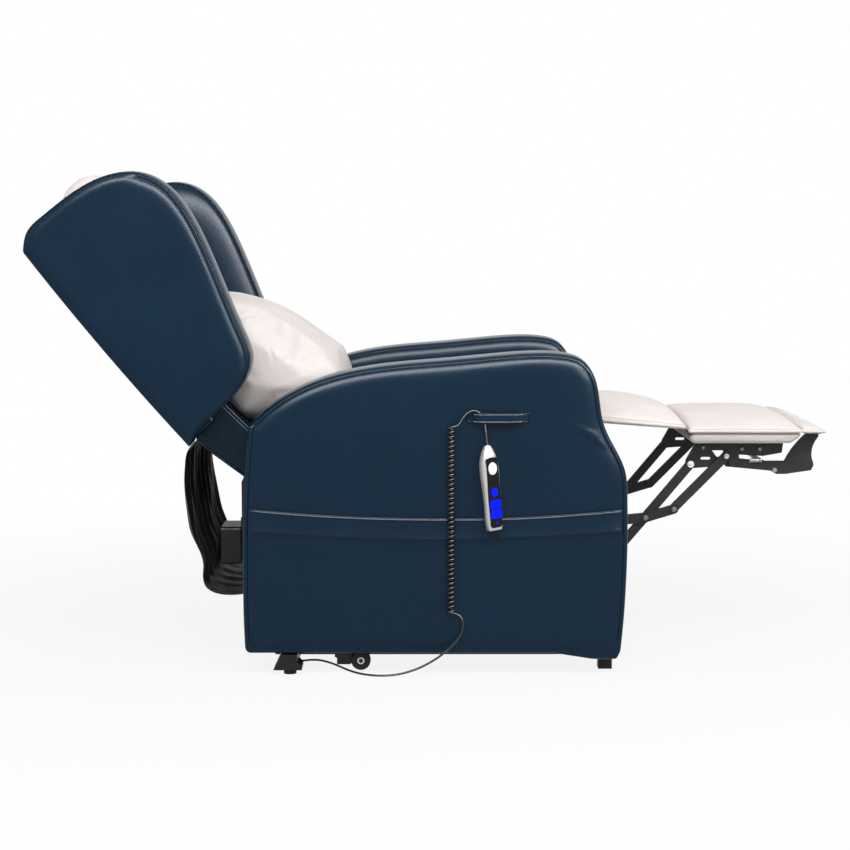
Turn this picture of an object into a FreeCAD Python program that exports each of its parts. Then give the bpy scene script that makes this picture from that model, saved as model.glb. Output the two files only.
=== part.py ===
"""Lift recliner chair, reclined with its legrest out: every piece as its own solid, in millimetres.

X points to the front of the chair, Y to the sitter's left and Z up from the floor. A "side" is +1 on the
sitter's left and -1 on the right, where the hand control hangs. Outlines are given as (x, z) in the plane
that the chair's sides lie in; those of the backrest are (n, u): n forward of the back's rear face, u up it.
"""
import FreeCAD
import Part
import math
import os

V = FreeCAD.Vector
SIDES = {"right": -1, "left": 1}

# Whole chair
chair_width = 780.0
arm_width = 125.0
wing_width = 110.0
seat_gap = 6.3                    # from the seat parts to the inside of each arm
soft_gap = 0.5                    # between a soft piece and its neighbour
side_bulge = 9.0                  # of a cushion's sides

half_width = chair_width / 2
arm_inner = half_width - arm_width
wing_inner = half_width - wing_width
seat_half = arm_inner - seat_gap

# Side panels
arm_rear, arm_front = -377.0, 393.0
arm_top = 654.0
arm_rear_top = 507.0
arm_bottom = 45.0
arm_toe_bottom = 32.0
arm_edge = 11.0                   # rounding of the long edges

# Seat
seat_rear, seat_front = -95.0, 322.0
deck_bottom, deck_thick = 399.0, 12.0
seat_side_height = 88.0
seat_crown = 30.0
rail_thick = 6.0
border_thick = 4.0
hinge_rod = 3.7                   # the bar that the calf pad turns on
cross_tube = 12.5                 # radius of the round cross tubes
cross_wall = 2.0
seat_tube_x = 215.0
rear_tube_x, rear_tube_z = -374.0, 300.0

# Backrest, in its own (n, u) directions
back_foot_x, back_foot_z = -487.0, 465.0
recline = 38.0
curtain_low, curtain_bulge = 141.0, 27.0
back_height = 532.0
wing_depth = 292.0
shell_depth = 60.0
tongue_drop, tongue_front = 124.0, 150.0
back_pivot_n, back_pivot_u = 115.0, -95.0
wing_edge = 13.0
cushion_side_gap = 4.0
lumbar_depth, lumbar_rise = 320.0, 238.0
pillow_gap = 2.0                  # between one back cushion and the next
head_drop, head_rise = 128.0, 46.0     # the head pillow, below and above the wings' height
back_crown = 18.0
pivot_pin = 6.0
pin_gap = 0.06                    # running clearance of a pin in its hole

# Legrest
pad_half_width = seat_half - 8.7
pad_hinge_x, pad_hinge_z = 338.0, 504.0
crease_x, crease_z = 530.0, 484.0
board_end = 768.0
board_top, board_thick = 478.0, 20.0
foot_tip = 820.0
pad_edge_thick = 13.0
crease_rod = 2.5
calf_crown, foot_crown = 27.0, 22.0
link_width = 19.0
link_thick = 6.0
layer_gap = 1.0
link_plane = seat_half - 59.7     # inner face of the crossed links
rivet = 5.0
arm_pivot = (270.0, 344.2)
cross_joint = (450.0, 297.0)
arm_end = (509.0, 315.0)
push_reach = 50.0
leg_tube = 8.0
arm_swing = 112.93
bracket_bolt_spots = ((571.0, 444.0), (653.0, 441.0), (690.0, 441.0))
board_joint = (544.0, 410.0)
toggle_joint = (619.0, 427.0)
foot_pivot = (636.0, 414.0)
foot_rod = (723.0, 396.0)
foot_rod_radius = 5.0

# Floor frame and lift links
rail_y, rail_width = half_width - 164.0, 18.0
bar_reach = half_width - 62.0      # ends of the cross bars
front_foot_y = half_width - 77.0
rail_bottom, rail_height = 10.0, 18.0
rail_rear, rail_front = -330.0, 316.0
foot_radius = 13.0
rear_foot_x, rear_foot_y = -290.0, half_width - 28.0
front_foot_x = 356.0
lift_rear = (-290.0, 75.0)
lift_front = (195.0, 85.0)
lift_thick = 8.0
hanger_thick = 9.7
lift_plane = seat_half - hanger_thick - layer_gap - lift_thick
lift_width = 34.0
lift_tube_along, lift_tube_up = 170.0, 5.0
lift_push_along, lift_push_up = 205.0, 30.0
wheel_x, wheel_z, wheel_radius, wheel_width = -146.0, 24.0, 20.0, 16.0
wheel_y = half_width - 42.0
axle = 4.0

# Actuators
housing_radius, rod_radius = 25.0, 9.0
rod_gap = 0.3
cheek_radius, cheek_thick, lug_thick = 12.0, 6.0, 8.0
fork_depth = 33.0
lift_mount_x, lift_mount_z = 120.0, 54.0
back_mount_x, back_mount_z, back_rod_y = 150.0, 300.0, 80.0
leg_mount_x, leg_mount_z, leg_rod_y = -75.0, 300.0, -90.0
back_lever_n, back_lever_u = 60.0, -179.0

# Hand control and its cord
control_x, control_y, control_z = 124.0, -half_width - 21.5, 303.0
control_turn, control_lean = 35.0, 5.3
control_width, control_depth, control_height = 36.0, 22.0, 170.0
key_gap, key_stand, key_travel = 0.3, 1.2, 1.0
strap_left, strap_right, strap_low, strap_high = 68.0, 194.0, 515.0, 536.0
strap_stand, strap_thick = 14.0, 3.0
cord_diameter = 4.5
curl_axis_x, curl_axis_y, curl_top, curl_bottom = 37.0, -half_width - 10.0, 507.5, 131.0
curl_radius, curl_turns = 6.0, 39.5
lead_gap = 0.1                    # where the lead on the floor frame meets the curls on the chair frame

floor_top = rail_bottom + rail_height
PARTS = {}


def keep(name, shape):
    PARTS[name] = shape


def sorted_span(side, inner, outer):
    return sorted((side * inner, side * outer))


def point(x, z, y=0.0):
    return V(x, y, z)


def face_of(edges):
    return Part.Face(Part.Wire(edges))


def polygon(points):
    closed = [point(*p) for p in points] + [point(*points[0])]
    return Part.Face(Part.makePolygon(closed))


def extrude_y(face, low, high):
    solid = face.extrude(V(0, high - low, 0))
    solid.translate(V(0, low, 0))
    return solid


def plate(points, low, high):
    return extrude_y(polygon(points), low, high)


def box(x0, x1, y0, y1, z0, z1):
    return Part.makeBox(x1 - x0, y1 - y0, z1 - z0, V(x0, y0, z0))


def rod_y(x, z, radius, low, high):
    return Part.makeCylinder(radius, high - low, V(x, low, z), V(0, 1, 0))


def pipe_y(x, z, radius, low, high):
    return rod_y(x, z, radius, low, high).cut(rod_y(x, z, radius - cross_wall, low, high))


def link(a, b, width, low, high):
    """A flat bar with round ends, from point a to point b."""
    run = V(b[0] - a[0], 0, b[1] - a[1])
    side = V(-run.z, 0, run.x).normalize() * (width / 2)
    start, end = point(*a), point(*b)
    back = start - run.normalize() * (width / 2)
    run = end - start
    front = end + run.normalize() * (width / 2)
    edges = [
        Part.makeLine(start + side, end + side),
        Part.Arc(end + side, front, end - side).toShape(),
        Part.makeLine(end - side, start - side),
        Part.Arc(start - side, back, start + side).toShape(),
    ]
    return extrude_y(face_of(edges), low, high)


def fuse(*shapes):
    return shapes[0].fuse(list(shapes[1:])).removeSplitter()


def largest(shape):
    return max(shape.Solids, key=lambda solid: solid.Volume)


def group(*shapes):
    return Part.makeCompound(list(shapes))


def from_back(n, u):
    """Where a point of the backrest's own plane lies on the reclined chair, as (x, z)."""
    a = math.radians(recline)
    x = back_foot_x + n * math.cos(a) - u * math.sin(a)
    z = back_foot_z + n * math.sin(a) + u * math.cos(a)
    return x, z


def lean_back(shape):
    """Carries a shape built upright, x = n and z = u, to the reclined backrest."""
    shape.rotate(V(0, 0, 0), V(0, 1, 0), -recline)
    shape.translate(V(back_foot_x, 0, back_foot_z))
    return shape


back_pivot = from_back(back_pivot_n, back_pivot_u)


# Side panels

def arm_face():
    """The panel's outline: a long swoop up from the back, a rounded nose, a drawn-in front and a low toe."""
    top = Part.BSplineCurve()
    top.interpolate([
        point(arm_rear + 8, arm_rear_top),
        point(arm_rear + 23, arm_rear_top + 15),
        point(arm_rear + 50, arm_rear_top + 39),
        point(arm_rear + 120, arm_top - 66),
        point(arm_rear + 226, arm_top - 34),
        point(arm_rear + 410, arm_top - 14),
        point(arm_front - 243, arm_top - 3),
        point(arm_front - 159, arm_top),
        point(arm_front - 121, arm_top - 4),
        point(arm_front - 95, arm_top - 13),
        point(arm_front - 73, arm_top - 38),
        point(arm_front - 50, arm_top - 140),
        point(arm_front - 27, arm_top - 190),
        point(arm_front - 6, arm_top - 235),
        point(arm_front, arm_top - 295),
    ])
    front = Part.Arc(point(arm_front, arm_top - 295), point(arm_front - 1, 190),
                     point(arm_front - 11, arm_bottom + 3))
    low = [point(arm_front - 11, arm_bottom + 3), point(arm_front - 19, arm_toe_bottom),
           point(arm_front - 68, arm_toe_bottom), point(arm_front - 150, arm_bottom),
           point(arm_rear + 4, arm_bottom), point(arm_rear - 3, arm_bottom + 7)]
    foot = [Part.makeLine(a, b) for a, b in zip(low, low[1:])]
    rear = Part.Arc(point(arm_rear - 3, arm_bottom + 7), point(arm_rear - 6, 190), point(arm_rear + 8, arm_rear_top))
    return face_of([top.toShape(), front.toShape(), *foot, rear.toShape()])


def side_panel(side):
    low, high = sorted_span(side, arm_inner, half_width)
    solid = extrude_y(arm_face(), low, high)
    long_edges = [e for e in solid.Edges if e.BoundBox.YLength < 0.01 and e.BoundBox.ZMax > arm_bottom + 60]
    return solid.makeFillet(arm_edge, long_edges)


# Seat

def seat_rail(side):
    """Steel plate inside each arm, with the eye that the backrest turns on."""
    px, pz = back_pivot
    tx, tz = rear_tube_x, rear_tube_z
    low, high = sorted_span(side, seat_half, seat_half + rail_thick)
    shape = plate([
        (tx - 21, tz - 20), (tx + 22, tz - 20), (tx + 39, tz + 50), (seat_front - 22, tz + 50),
        (seat_front - 22, deck_bottom), (tx + 84, deck_bottom), (px + 20, pz), (px - 20, pz), (tx - 21, tz + 80),
    ], low, high)
    eye = rod_y(px, pz, 20.0, low, high)
    return fuse(shape, eye).cut(rod_y(px, pz, pivot_pin + pin_gap, low - 1, high + 1))


def seat_deck():
    return box(seat_rear, seat_front, -seat_half + 10, seat_half - 10, deck_bottom, deck_bottom + deck_thick)


def seat_border():
    """Board across the front of the seat, with the bar along its top edge that the calf pad turns on."""
    x = seat_front
    reach = pad_half_width - 5
    board = plate([(x, deck_bottom), (x + border_thick, deck_bottom), (x + border_thick, pad_hinge_z - 14),
                   (pad_hinge_x + 1, pad_hinge_z - hinge_rod + 1), (pad_hinge_x - 3, pad_hinge_z),
                   (x, pad_hinge_z - 12)], -reach, reach)
    return fuse(board, rod_y(pad_hinge_x, pad_hinge_z, hinge_rod, -reach, reach))


def pillow(sections, upright=False):
    """A filled cushion lofted through its cross sections, each (place, half width, under, side top, crown).

    Each section has a flat underside, sides that bulge to the half width and a crowned top. Flat, the sections
    follow each other along X and rise in Z; upright, they follow each other up Z and stand out in X.
    """
    wires = []
    for place, half, under, side_top, crown in sections:
        def spot(y, rise):
            return V(rise, y, place) if upright else V(place, y, rise)
        middle = (under + side_top) / 2
        edge = half - min(side_bulge, 0.3 * (side_top - under))
        left = Part.Arc(spot(-edge, side_top), spot(-half, middle), spot(-edge, under)).toShape()
        right = Part.Arc(spot(edge, under), spot(half, middle), spot(edge, side_top)).toShape()
        top = Part.Arc(spot(edge, side_top), spot(0, crown), spot(-edge, side_top)).toShape()
        wires.append(Part.Wire([left, Part.makeLine(spot(-edge, under), spot(edge, under)), right, top]))
    return Part.makeLoft(wires, True)


def seat_cushion():
    under = deck_bottom + deck_thick + soft_gap
    side = under + seat_side_height
    half = seat_half - 10
    x0, x1 = seat_rear, seat_front - 4
    return pillow([
        (x0, half - 12, under, side - 12, side + 4),
        (x0 + 30, half - 3, under, side, side + seat_crown - 8),
        ((x0 + x1) / 2, half, under, side, side + seat_crown),
        (x1 - 60, half - 2, under, side, side + seat_crown - 4),
        (x1 - 14, half - 8, under, side - 12, side + 2),
        (x1, half - 14, under, side - 34, side - 26),
    ])


def seat_tubes():
    reach = seat_half - soft_gap
    front = pipe_y(seat_tube_x, deck_bottom - cross_tube, cross_tube, -reach, reach)
    return group(front, pipe_y(rear_tube_x, rear_tube_z, cross_tube, -reach, reach))


def lift_hanger(side):
    """Plate that hangs from the seat rail to the front pivot of the lift arm."""
    x, z = lift_front
    inner = seat_half - hanger_thick
    low, high = sorted_span(side, inner, seat_half - pin_gap)
    tx, top = seat_tube_x, deck_bottom - 2
    shape = plate([(x - 24, z), (x + 24, z), (tx + 24, 350), (tx + 24, top), (tx - 80, top), (tx - 80, 350)],
                  low, high)
    eye = rod_y(x, z, 24.0, low, high)
    pin = rod_y(x, z, pivot_pin, *sorted_span(side, lift_plane - 3, inner))
    tube = rod_y(tx, deck_bottom - cross_tube, cross_tube + pin_gap, low - 1, high + 1)
    return fuse(shape, eye, pin).cut(tube)


def leg_bracket(side):
    """Plate under the deck that carries the legrest arm's pivot."""
    x, z = arm_pivot
    inner = link_plane + 2 * (link_thick + layer_gap)
    low, high = sorted_span(side, inner, inner + link_thick)
    tx = seat_tube_x
    shape = plate([(x - 16, z), (x + 16, z), (x + 16, deck_bottom), (tx - 20, deck_bottom),
                   (tx - 20, deck_bottom - 27)], low, high)
    eye = rod_y(x, z, 16.0, low, high)
    pin = rod_y(x, z, pivot_pin, *sorted_span(side, inner - link_thick - layer_gap - 3, inner))
    tube = rod_y(tx, deck_bottom - cross_tube, cross_tube + pin_gap, low - 1, high + 1)
    return fuse(shape, eye, pin).cut(tube)


def control_box():
    """The mains and motor control box, on a strap plate behind the seat."""
    rear, front = rear_tube_x - 66, rear_tube_x - 26
    top = rear_tube_z - 17
    right = 8.7 - seat_half
    case = box(rear, front, right, right + 100, top - 78, top)
    case = case.makeFillet(7, [e for e in case.Edges if e.BoundBox.XLength > 39])
    ear = box(front, front + 6, right + 15, right + 85, top - 43, rear_tube_z)
    saddle = box(front, rear_tube_x, right + 15, right + 85, rear_tube_z - 12, rear_tube_z)
    return case, fuse(ear, saddle).cut(rod_y(rear_tube_x, rear_tube_z, cross_tube + pin_gap, right, 0))


def rear_curtain():
    """Black cloth from the foot of the backrest down to the panels' rear edges, with its main hanging folds.

    Each level is (share of the drop, rear of the cloth from the back's foot, depth of the folds, thickness,
    clearance at the sides).
    """
    bulge = curtain_bulge
    hem = arm_rear + arm_edge - back_foot_x - 1.7 * bulge
    levels = [(1.0, -6, 2, 3, 12), (0.945, -0.89 * bulge, 6, 3, 12), (0.77, -bulge, 9, 3, 12),
              (0.51, -0.67 * bulge, 12, 3, 12), (0.34, -0.22 * bulge, 9, 3, 12), (0.243, 0.37 * bulge, 5, 4, 8),
              (0.13, 0.33 * bulge, 7, 8, 2), (0.043, 0.7 * bulge, 6, 30, 0.4), (0.0, 1.7 * bulge, 4, hem, 0.3)]
    folds = 6
    wires = []
    for share, behind, depth, thick, clear in levels:
        z = curtain_low + share * (back_foot_z - 3 - curtain_low)
        x = back_foot_x + behind
        half = arm_inner - clear
        step = half / folds
        rear, front = [], []
        for k in range(2 * folds):
            y0, y1 = -half + k * step, -half + (k + 1) * step
            swing = depth if k % 2 else -depth
            ahead = swing if thick < 8 else 0.5
            rear.append(Part.Arc(V(x, y0, z), V(x + swing, (y0 + y1) / 2, z), V(x, y1, z)).toShape())
            front.append(Part.Arc(V(x + thick, y1, z), V(x + thick + ahead, (y0 + y1) / 2, z),
                                  V(x + thick, y0, z)).toShape())
        left = Part.makeLine(V(x, half, z), V(x + thick, half, z))
        right = Part.makeLine(V(x + thick, -half, z), V(x, -half, z))
        wires.append(Part.Wire(rear + [left] + list(reversed(front)) + [right]))
    return Part.makeLoft(wires, True, True)


# Backrest

def wing_face():
    """The wing's outline in (n, u), from the rear foot round the drawn-in lower front to the domed top."""
    d, h = wing_depth, back_height
    lower = Part.BSplineCurve()
    lower.interpolate([point(0, 0), point(24, 13), point(82, 21), point(0.45 * d, 27), point(0.61 * d, 41),
                       point(0.71 * d, 64), point(d - 65, 115), point(d - 40, 206), point(d - 12, h - 222),
                       point(d, h - 147), point(d - 4, h - 91), point(d - 25, h - 47), point(d - 66, h - 15),
                       point(0.58 * d, h + 3), point(120, h + 8), point(60, h + 8), point(14, h + 2),
                       point(-17, h - 24)])
    rear = Part.Arc(point(-17, h - 24), point(-16.5, 0.68 * h), point(0, 0))
    return face_of([lower.toShape(), rear.toShape()])


def wing(side):
    low, high = sorted_span(side, wing_inner, half_width)
    solid = extrude_y(wing_face(), low, high)
    rims = [e for e in solid.Edges if e.BoundBox.YLength < 0.01]
    return lean_back(solid.makeFillet(wing_edge, rims))


def back_shell():
    """Padded rear board between the wings, with the tongue that runs down between the arms to the pivot."""
    board = box(0, shell_depth, -wing_inner + soft_gap, wing_inner - soft_gap, 8, back_height - 6)
    low, high = -seat_half + soft_gap, seat_half - soft_gap
    tongue = plate([(0, 8), (-2, -11), (30, -tongue_drop), (tongue_front, -tongue_drop), (tongue_front, -104),
                    (tongue_front - 46, -46), (shell_depth + 35, 21), (shell_depth + 35, 34),
                    (shell_depth, 62)], low, high)
    lever = plate([(back_lever_n - 12, back_lever_u), (back_lever_n + 12, back_lever_u), (back_lever_n + 34, -120),
                   (back_lever_n - 20, -120)], back_rod_y - lug_thick / 2, back_rod_y + lug_thick / 2)
    tip = rod_y(back_lever_n, back_lever_u, cheek_radius, back_rod_y - lug_thick / 2, back_rod_y + lug_thick / 2)
    body = fuse(board, tongue, lever, tip)
    pins = [rod_y(back_pivot_n, back_pivot_u, pivot_pin, *sorted_span(side, seat_half - 1, seat_half + rail_thick))
            for side in SIDES.values()]
    return lean_back(fuse(body, *pins))


def back_cushions(shell):
    """Three pillows one above the other: a deep lumbar one, a shoulder one and the head pillow."""
    n0 = shell_depth + soft_gap
    half = wing_inner - cushion_side_gap
    low_half = seat_half - cushion_side_gap
    front = tongue_front + soft_gap
    d, rise, crown, foot = lumbar_depth, lumbar_rise, back_crown, pillow_gap - tongue_drop
    lumbar = pillow([
        (foot, low_half - 16, front + 2, 0.78 * d, 0.78 * d + crown),
        (foot + 26, low_half - 4, front + 1, 0.99 * d, 0.99 * d + crown - 1),
        (foot + 52, low_half, front - 4, d, d + crown - 1),
        (0.02 * rise, low_half, n0 + 16, 0.945 * d, 0.945 * d + crown - 1),
        (0.29 * rise, low_half, n0 + 1, 0.88 * d, 0.88 * d + crown + 1),
        (0.585 * rise, low_half - 2, n0, 0.78 * d, 0.78 * d + crown),
        (0.86 * rise, low_half - 6, n0, 0.61 * d, 0.61 * d + crown + 5),
        (rise, low_half - 16, n0, 0.37 * d, 0.37 * d + crown + 4),
    ], True)
    low, high = rise + pillow_gap, back_height - head_drop - pillow_gap
    shoulder = pillow([
        (low, half - 14, n0, 0.375 * d, 0.375 * d + crown - 4),
        (low + 22, half - 2, n0, 0.495 * d, 0.495 * d + crown),
        ((low + high) / 2, half, n0, 0.54 * d, 0.54 * d + crown + 2),
        (high - 22, half - 4, n0, 0.47 * d, 0.47 * d + crown),
        (high, half - 16, n0, 0.35 * d, 0.35 * d + crown - 6),
    ], True)
    low, high = back_height - head_drop, back_height + head_rise
    head = pillow([
        (low, half - 30, n0, 0.36 * d, 0.36 * d + crown - 6),
        (low + 26, half - 10, n0, 0.495 * d, 0.495 * d + crown + 10),
        (low + 84, half - 6, n0, 0.535 * d, 0.535 * d + crown + 13),
        (high - 38, half - 12, n0 + 6, 0.55 * d, 0.55 * d + crown + 4),
        (high - 14, half - 26, n0 + 26, 0.525 * d, 0.525 * d + crown - 4),
        (high, half - 50, n0 + 50, 0.46 * d, 0.46 * d + crown - 10),
    ], True)
    keep("lumbar_cushion", lean_back(lumbar).cut(shell))
    keep("shoulder_cushion", lean_back(shoulder).cut(shell))
    keep("head_cushion", lean_back(head).cut(shell))


# Legrest

def legrest_pads(board, hinge):
    """Calf pad, footrest pad and foot-end pad: thin sides, crowned tops and a sewn crease between each."""
    t = pad_edge_thick
    w = pad_half_width

    def under(x):
        share = (x - pad_hinge_x) / (crease_x - pad_hinge_x)
        return pad_hinge_z + share * (crease_z - pad_hinge_z) + soft_gap
    x0, x1 = pad_hinge_x + hinge_rod + 0.3, crease_x - crease_rod - 0.3
    keep("calf_pad", pillow([
        (x0, w - 8, under(x0), under(x0) + t, under(x0) + t + 14),
        (x0 + 40, w, under(x0 + 40), under(x0 + 40) + t, under(x0 + 40) + t + calf_crown),
        (x1 - 60, w, under(x1 - 60), under(x1 - 60) + t, under(x1 - 60) + t + calf_crown),
        (x1 - 14, w - 1, under(x1 - 14), under(x1 - 14) + t, under(x1 - 14) + t + 16),
        (x1, w - 4, under(x1), under(x1) + t - 2, under(x1) + t + 8),
    ]))
    low = board_top + soft_gap
    x0, x1 = crease_x + crease_rod + 0.3, board_end - 0.2
    pad = pillow([
        (x0, w - 4, low, low + t + 4, low + t + 13),
        (x0 + 16, w - 1, low, low + t + 2, low + t + 18),
        (x0 + 70, w, low, low + t, low + t + foot_crown),
        (x1 - 70, w, low, low + t, low + t + foot_crown),
        (x1 - 16, w - 2, low, low + t, low + t + 13),
        (x1, w - 5, low, low + t - 3, low + t + 5),
    ])
    keep("footrest_pad", largest(pad.cut(board).cut(hinge)))
    x0, x1 = board_end + 0.2, foot_tip
    keep("foot_pad", pillow([
        (x0, w - 5, low, low + t - 3, low + t + 5),
        (x0 + 14, w - 3, low, low + t, low + t + 10),
        (x1 - 18, w - 4, low, low + t - 4, low + t + 3),
        (x1, w - 14, low, low + 5, low + 8),
    ]))


def crease_hinge():
    """Long hinge between the calf pad and the footrest board: its pin and the leaf that meets the board."""
    x, z = crease_x, crease_z
    reach = pad_half_width - 6
    r = board_thick / 2
    leaf = link((x, z), (crease_x + 6 + r, board_top - r), 2.5, -reach, reach)
    leaf = leaf.cut(rod_y(crease_x + 6 + r, board_top - r, r, -reach - 1, reach + 1))
    return fuse(rod_y(x, z, crease_rod, -reach, reach), leaf)


def footrest_board():
    """Upholstered board with rounded ends, under the footrest pad."""
    top, low = board_top, board_top - board_thick
    x0, x1 = crease_x + 6, board_end
    r = board_thick / 2
    edges = [
        Part.makeLine(point(x0 + r, top), point(x1, top)),
        Part.Arc(point(x1, top), point(x1 - 5, top - 9), point(x1 - 22, low)).toShape(),
        Part.makeLine(point(x1 - 22, low), point(x0 + r, low)),
        Part.Arc(point(x0 + r, low), point(x0, top - r), point(x0 + r, top)).toShape(),
    ]
    return extrude_y(face_of(edges), -pad_half_width + 3, pad_half_width - 3)


def footrest_bracket(side):
    """Long pressed bracket screwed under the board, with the ear for the crossed link and two slots."""
    inner = link_plane - layer_gap - link_thick
    low, high = sorted_span(side, inner, link_plane - layer_gap)
    top = board_top - board_thick
    bx, bz = board_joint
    web = plate([(557, top), (bx - 9, bz + 8), (bx - 10, bz), (bx, bz - 10), (600, bz - 6), (630, 430), (697, 426),
                 (737, 433), (740, top)], low, high)
    ear = rod_y(bx, bz, 10.5, low, high)
    foot_ear = link(foot_pivot, (foot_pivot[0], foot_pivot[1] + 25), 22, low, high)
    pin = rod_y(*foot_pivot, rivet, *sorted_span(side, inner - layer_gap - link_thick - 2, inner))
    window = plate([(590, 438), (600, 424), (612, 424), (614, 438)], low - 1, high + 1)
    slot = link((569, 421), (584, 421), 6, low - 1, high + 1)
    flange_low, flange_high = sorted_span(side, inner - 24, link_plane - layer_gap)
    flange = box(557, 745, flange_low, flange_high, top - 3, top)
    return fuse(fuse(web, ear, foot_ear).cut(window).cut(slot), flange, pin)


def bracket_bolts():
    """Three round-headed bolts along each bracket."""
    inner = link_plane - layer_gap - link_thick
    heads = []
    for side in SIDES.values():
        for x, z in bracket_bolt_spots:
            cone = Part.makeCone(5.5, 3.5, 3.2, V(x, side * (link_plane - layer_gap), z), V(0, side, 0))
            heads.append(cone)
    return group(*heads)


def leg_arm(side):
    """Bent bar from the seat frame's bracket under the crossed link to the toggle link."""
    inner = link_plane + link_thick + layer_gap
    low, high = sorted_span(side, inner, inner + link_thick)
    knee = (arm_pivot[0] + 130, arm_pivot[1] - 52)
    shape = fuse(
        link(arm_pivot, knee, link_width + 3, low, high),
        link(knee, cross_joint, link_width + 2, low, high),
        link(cross_joint, arm_end, link_width + 1, low, high),
    )
    tube = rod_y(*arm_tube_spot(), leg_tube, low - 1, high + 1)
    holes = [rod_y(*arm_pivot, pivot_pin + pin_gap, low - 1, high + 1),
             rod_y(*cross_joint, rivet + pin_gap, low - 1, high + 1),
             rod_y(*arm_end, rivet + pin_gap, low - 1, high + 1)]
    for hole in holes + [tube]:
        shape = shape.cut(hole)
    return shape


def leg_push():
    """The actuator's lug on the legrest arms, level at both ends of the arms' swing."""
    half = math.radians(arm_swing / 2)
    return arm_pivot[0] + push_reach * math.sin(half), arm_pivot[1] - push_reach * math.cos(half)


def arm_tube_spot():
    return arm_pivot[0] + 93, arm_pivot[1] - 37


def leg_arm_tube():
    """Round tube that ties the two legrest arms, with the lug that the actuator pushes."""
    x, z = arm_tube_spot()
    reach = link_plane + 2 * link_thick + layer_gap
    lug = link((x, z), leg_push(), 20, leg_rod_y - lug_thick / 2, leg_rod_y + lug_thick / 2)
    return fuse(rod_y(x, z, leg_tube, -reach, reach), lug)


def pinned_link(side, low_end, high_end, extra=None):
    """A straight legrest link with its shank pin through the arm and a rivet head at its upper end."""
    low, high = sorted_span(side, link_plane, link_plane + link_thick)
    through = link_plane + 2 * link_thick + layer_gap
    pin = rod_y(*low_end, rivet, *sorted_span(side, link_plane + 1, through + 1))
    head = rod_y(*low_end, rivet + 3.5, *sorted_span(side, through + 0.4, through + 3))
    cap = rod_y(*high_end, rivet + 1, *sorted_span(side, link_plane + 1, link_plane + link_thick + 3))
    solids = [link(low_end, high_end, link_width, low, high), pin, head, cap]
    if extra:
        solids.append(link(extra, low_end, link_width, low, high))
    return fuse(*solids)


def cross_link(side):
    tail = (cross_joint[0] - 45, cross_joint[1] - 53)
    return pinned_link(side, cross_joint, board_joint, tail)


def toggle_link(side):
    return pinned_link(side, arm_end, toggle_joint)


def foot_arm(side):
    """Sprung arm behind the bracket, which ends in the curved corner under the foot-end pad."""
    outer = link_plane - 2 * layer_gap - link_thick
    low, high = sorted_span(side, outer - link_thick, outer)
    px, pz = foot_pivot
    bar = plate([(px - 20, pz - 4), (px - 16, pz - 11), (715, 394), (727, 387), (747, 387), (801, 395), (806, 406),
                 (804, 416), (749, 415), (694, 415), (px + 6, pz + 7), (px - 16, pz + 5)], low, high)
    fin_edges = [
        Part.makeLine(point(746, 413), point(804, 413)),
        Part.Arc(point(804, 413), point(802, 440), point(815, 466)).toShape(),
        Part.makeLine(point(815, 466), point(815, 474)),
        Part.makeLine(point(815, 474), point(793, 474)),
        Part.Arc(point(793, 474), point(768, 448), point(746, 413)).toShape(),
    ]
    fin_low, fin_high = sorted_span(side, outer - 3 * link_thick, outer)
    fin = extrude_y(face_of(fin_edges), fin_low, fin_high)
    tab_low, tab_high = sorted_span(side, outer - 60, outer + 18)
    tab = box(792, 816, tab_low, tab_high, 474, board_top)
    shape = fuse(bar, fin, tab)
    return shape.cut(rod_y(px, pz, rivet + pin_gap, low - 1, high + 1)).cut(
        rod_y(*foot_rod, foot_rod_radius, fin_low - 30, fin_high + 30))


def spring(side):
    """Tension spring between the bracket and the foot arm: close round turns on a straight axis."""
    y = side * (link_plane - 2.5)
    radius, wire, turns, pitch = 4.0, 0.8, 9, 2.6
    x, z = 671.0, 420.5 - radius + 0.4
    path = helix(V(x, y, z), V(1, 0, 0), V(0, 0, -1), radius, turns * pitch, turns, wire * 2)
    return sweep(path, wire)


# Floor frame and lift

def base_frame():
    """Two long rails of steel tube, two cross bars, short bars out to the feet and wheels, and the lift posts."""
    inner, outer = rail_y - rail_width / 2, rail_y + rail_width / 2
    rails = [box(rail_rear, rail_front, *sorted_span(side, inner, outer), rail_bottom, floor_top)
             for side in SIDES.values()]
    bars = [box(x - 20, x + 20, -inner, inner, rail_bottom, floor_top) for x in (lift_mount_x, lift_rear[0])]
    stubs = [box(x - 14, x + 14, *sorted_span(side, outer, bar_reach), rail_bottom, floor_top)
             for x in (rear_foot_x, wheel_x - 36) for side in SIDES.values()]
    return group(*rails, *bars, *stubs, front_step(-1), front_step(1), lift_post(-1), lift_post(1))


def front_step(side):
    """Flat bars that step out from a rail's front end, past the folded legrest, to the front foot."""
    past = pad_half_width + 4
    spans = [(rail_front - 28, rail_front, rail_y + rail_width / 2, past),
             (rail_front - 28, front_foot_x + 14, past, past + 16),
             (front_foot_x - 14, front_foot_x + 14, past + 16, bar_reach)]
    return fuse(*[box(x0, x1, *sorted_span(side, y0, y1), floor_top - 10, floor_top) for x0, x1, y0, y1 in spans])


def feet():
    """Round glides under the rear boots and square ones under the front of the rails."""
    rear = [Part.makeCylinder(foot_radius, rail_bottom, V(rear_foot_x, side * rear_foot_y, 0))
            for side in SIDES.values()]
    front = [box(front_foot_x - 14, front_foot_x + 14, side * front_foot_y - 14, side * front_foot_y + 14,
                 0, floor_top - 10) for side in SIDES.values()]
    return group(*rear, *front)


def rear_boot(side):
    """Moulded boot on the end of the rear bar, over the rear glide."""
    x = rear_foot_x
    low, high = sorted_span(side, bar_reach, rear_foot_y + 20)
    return plate([(x - 18, 42), (x + 16, 42), (x + 15, 26), (x + 25, 18), (x + 25, 10), (x - 33, 10)], low, high)


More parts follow.
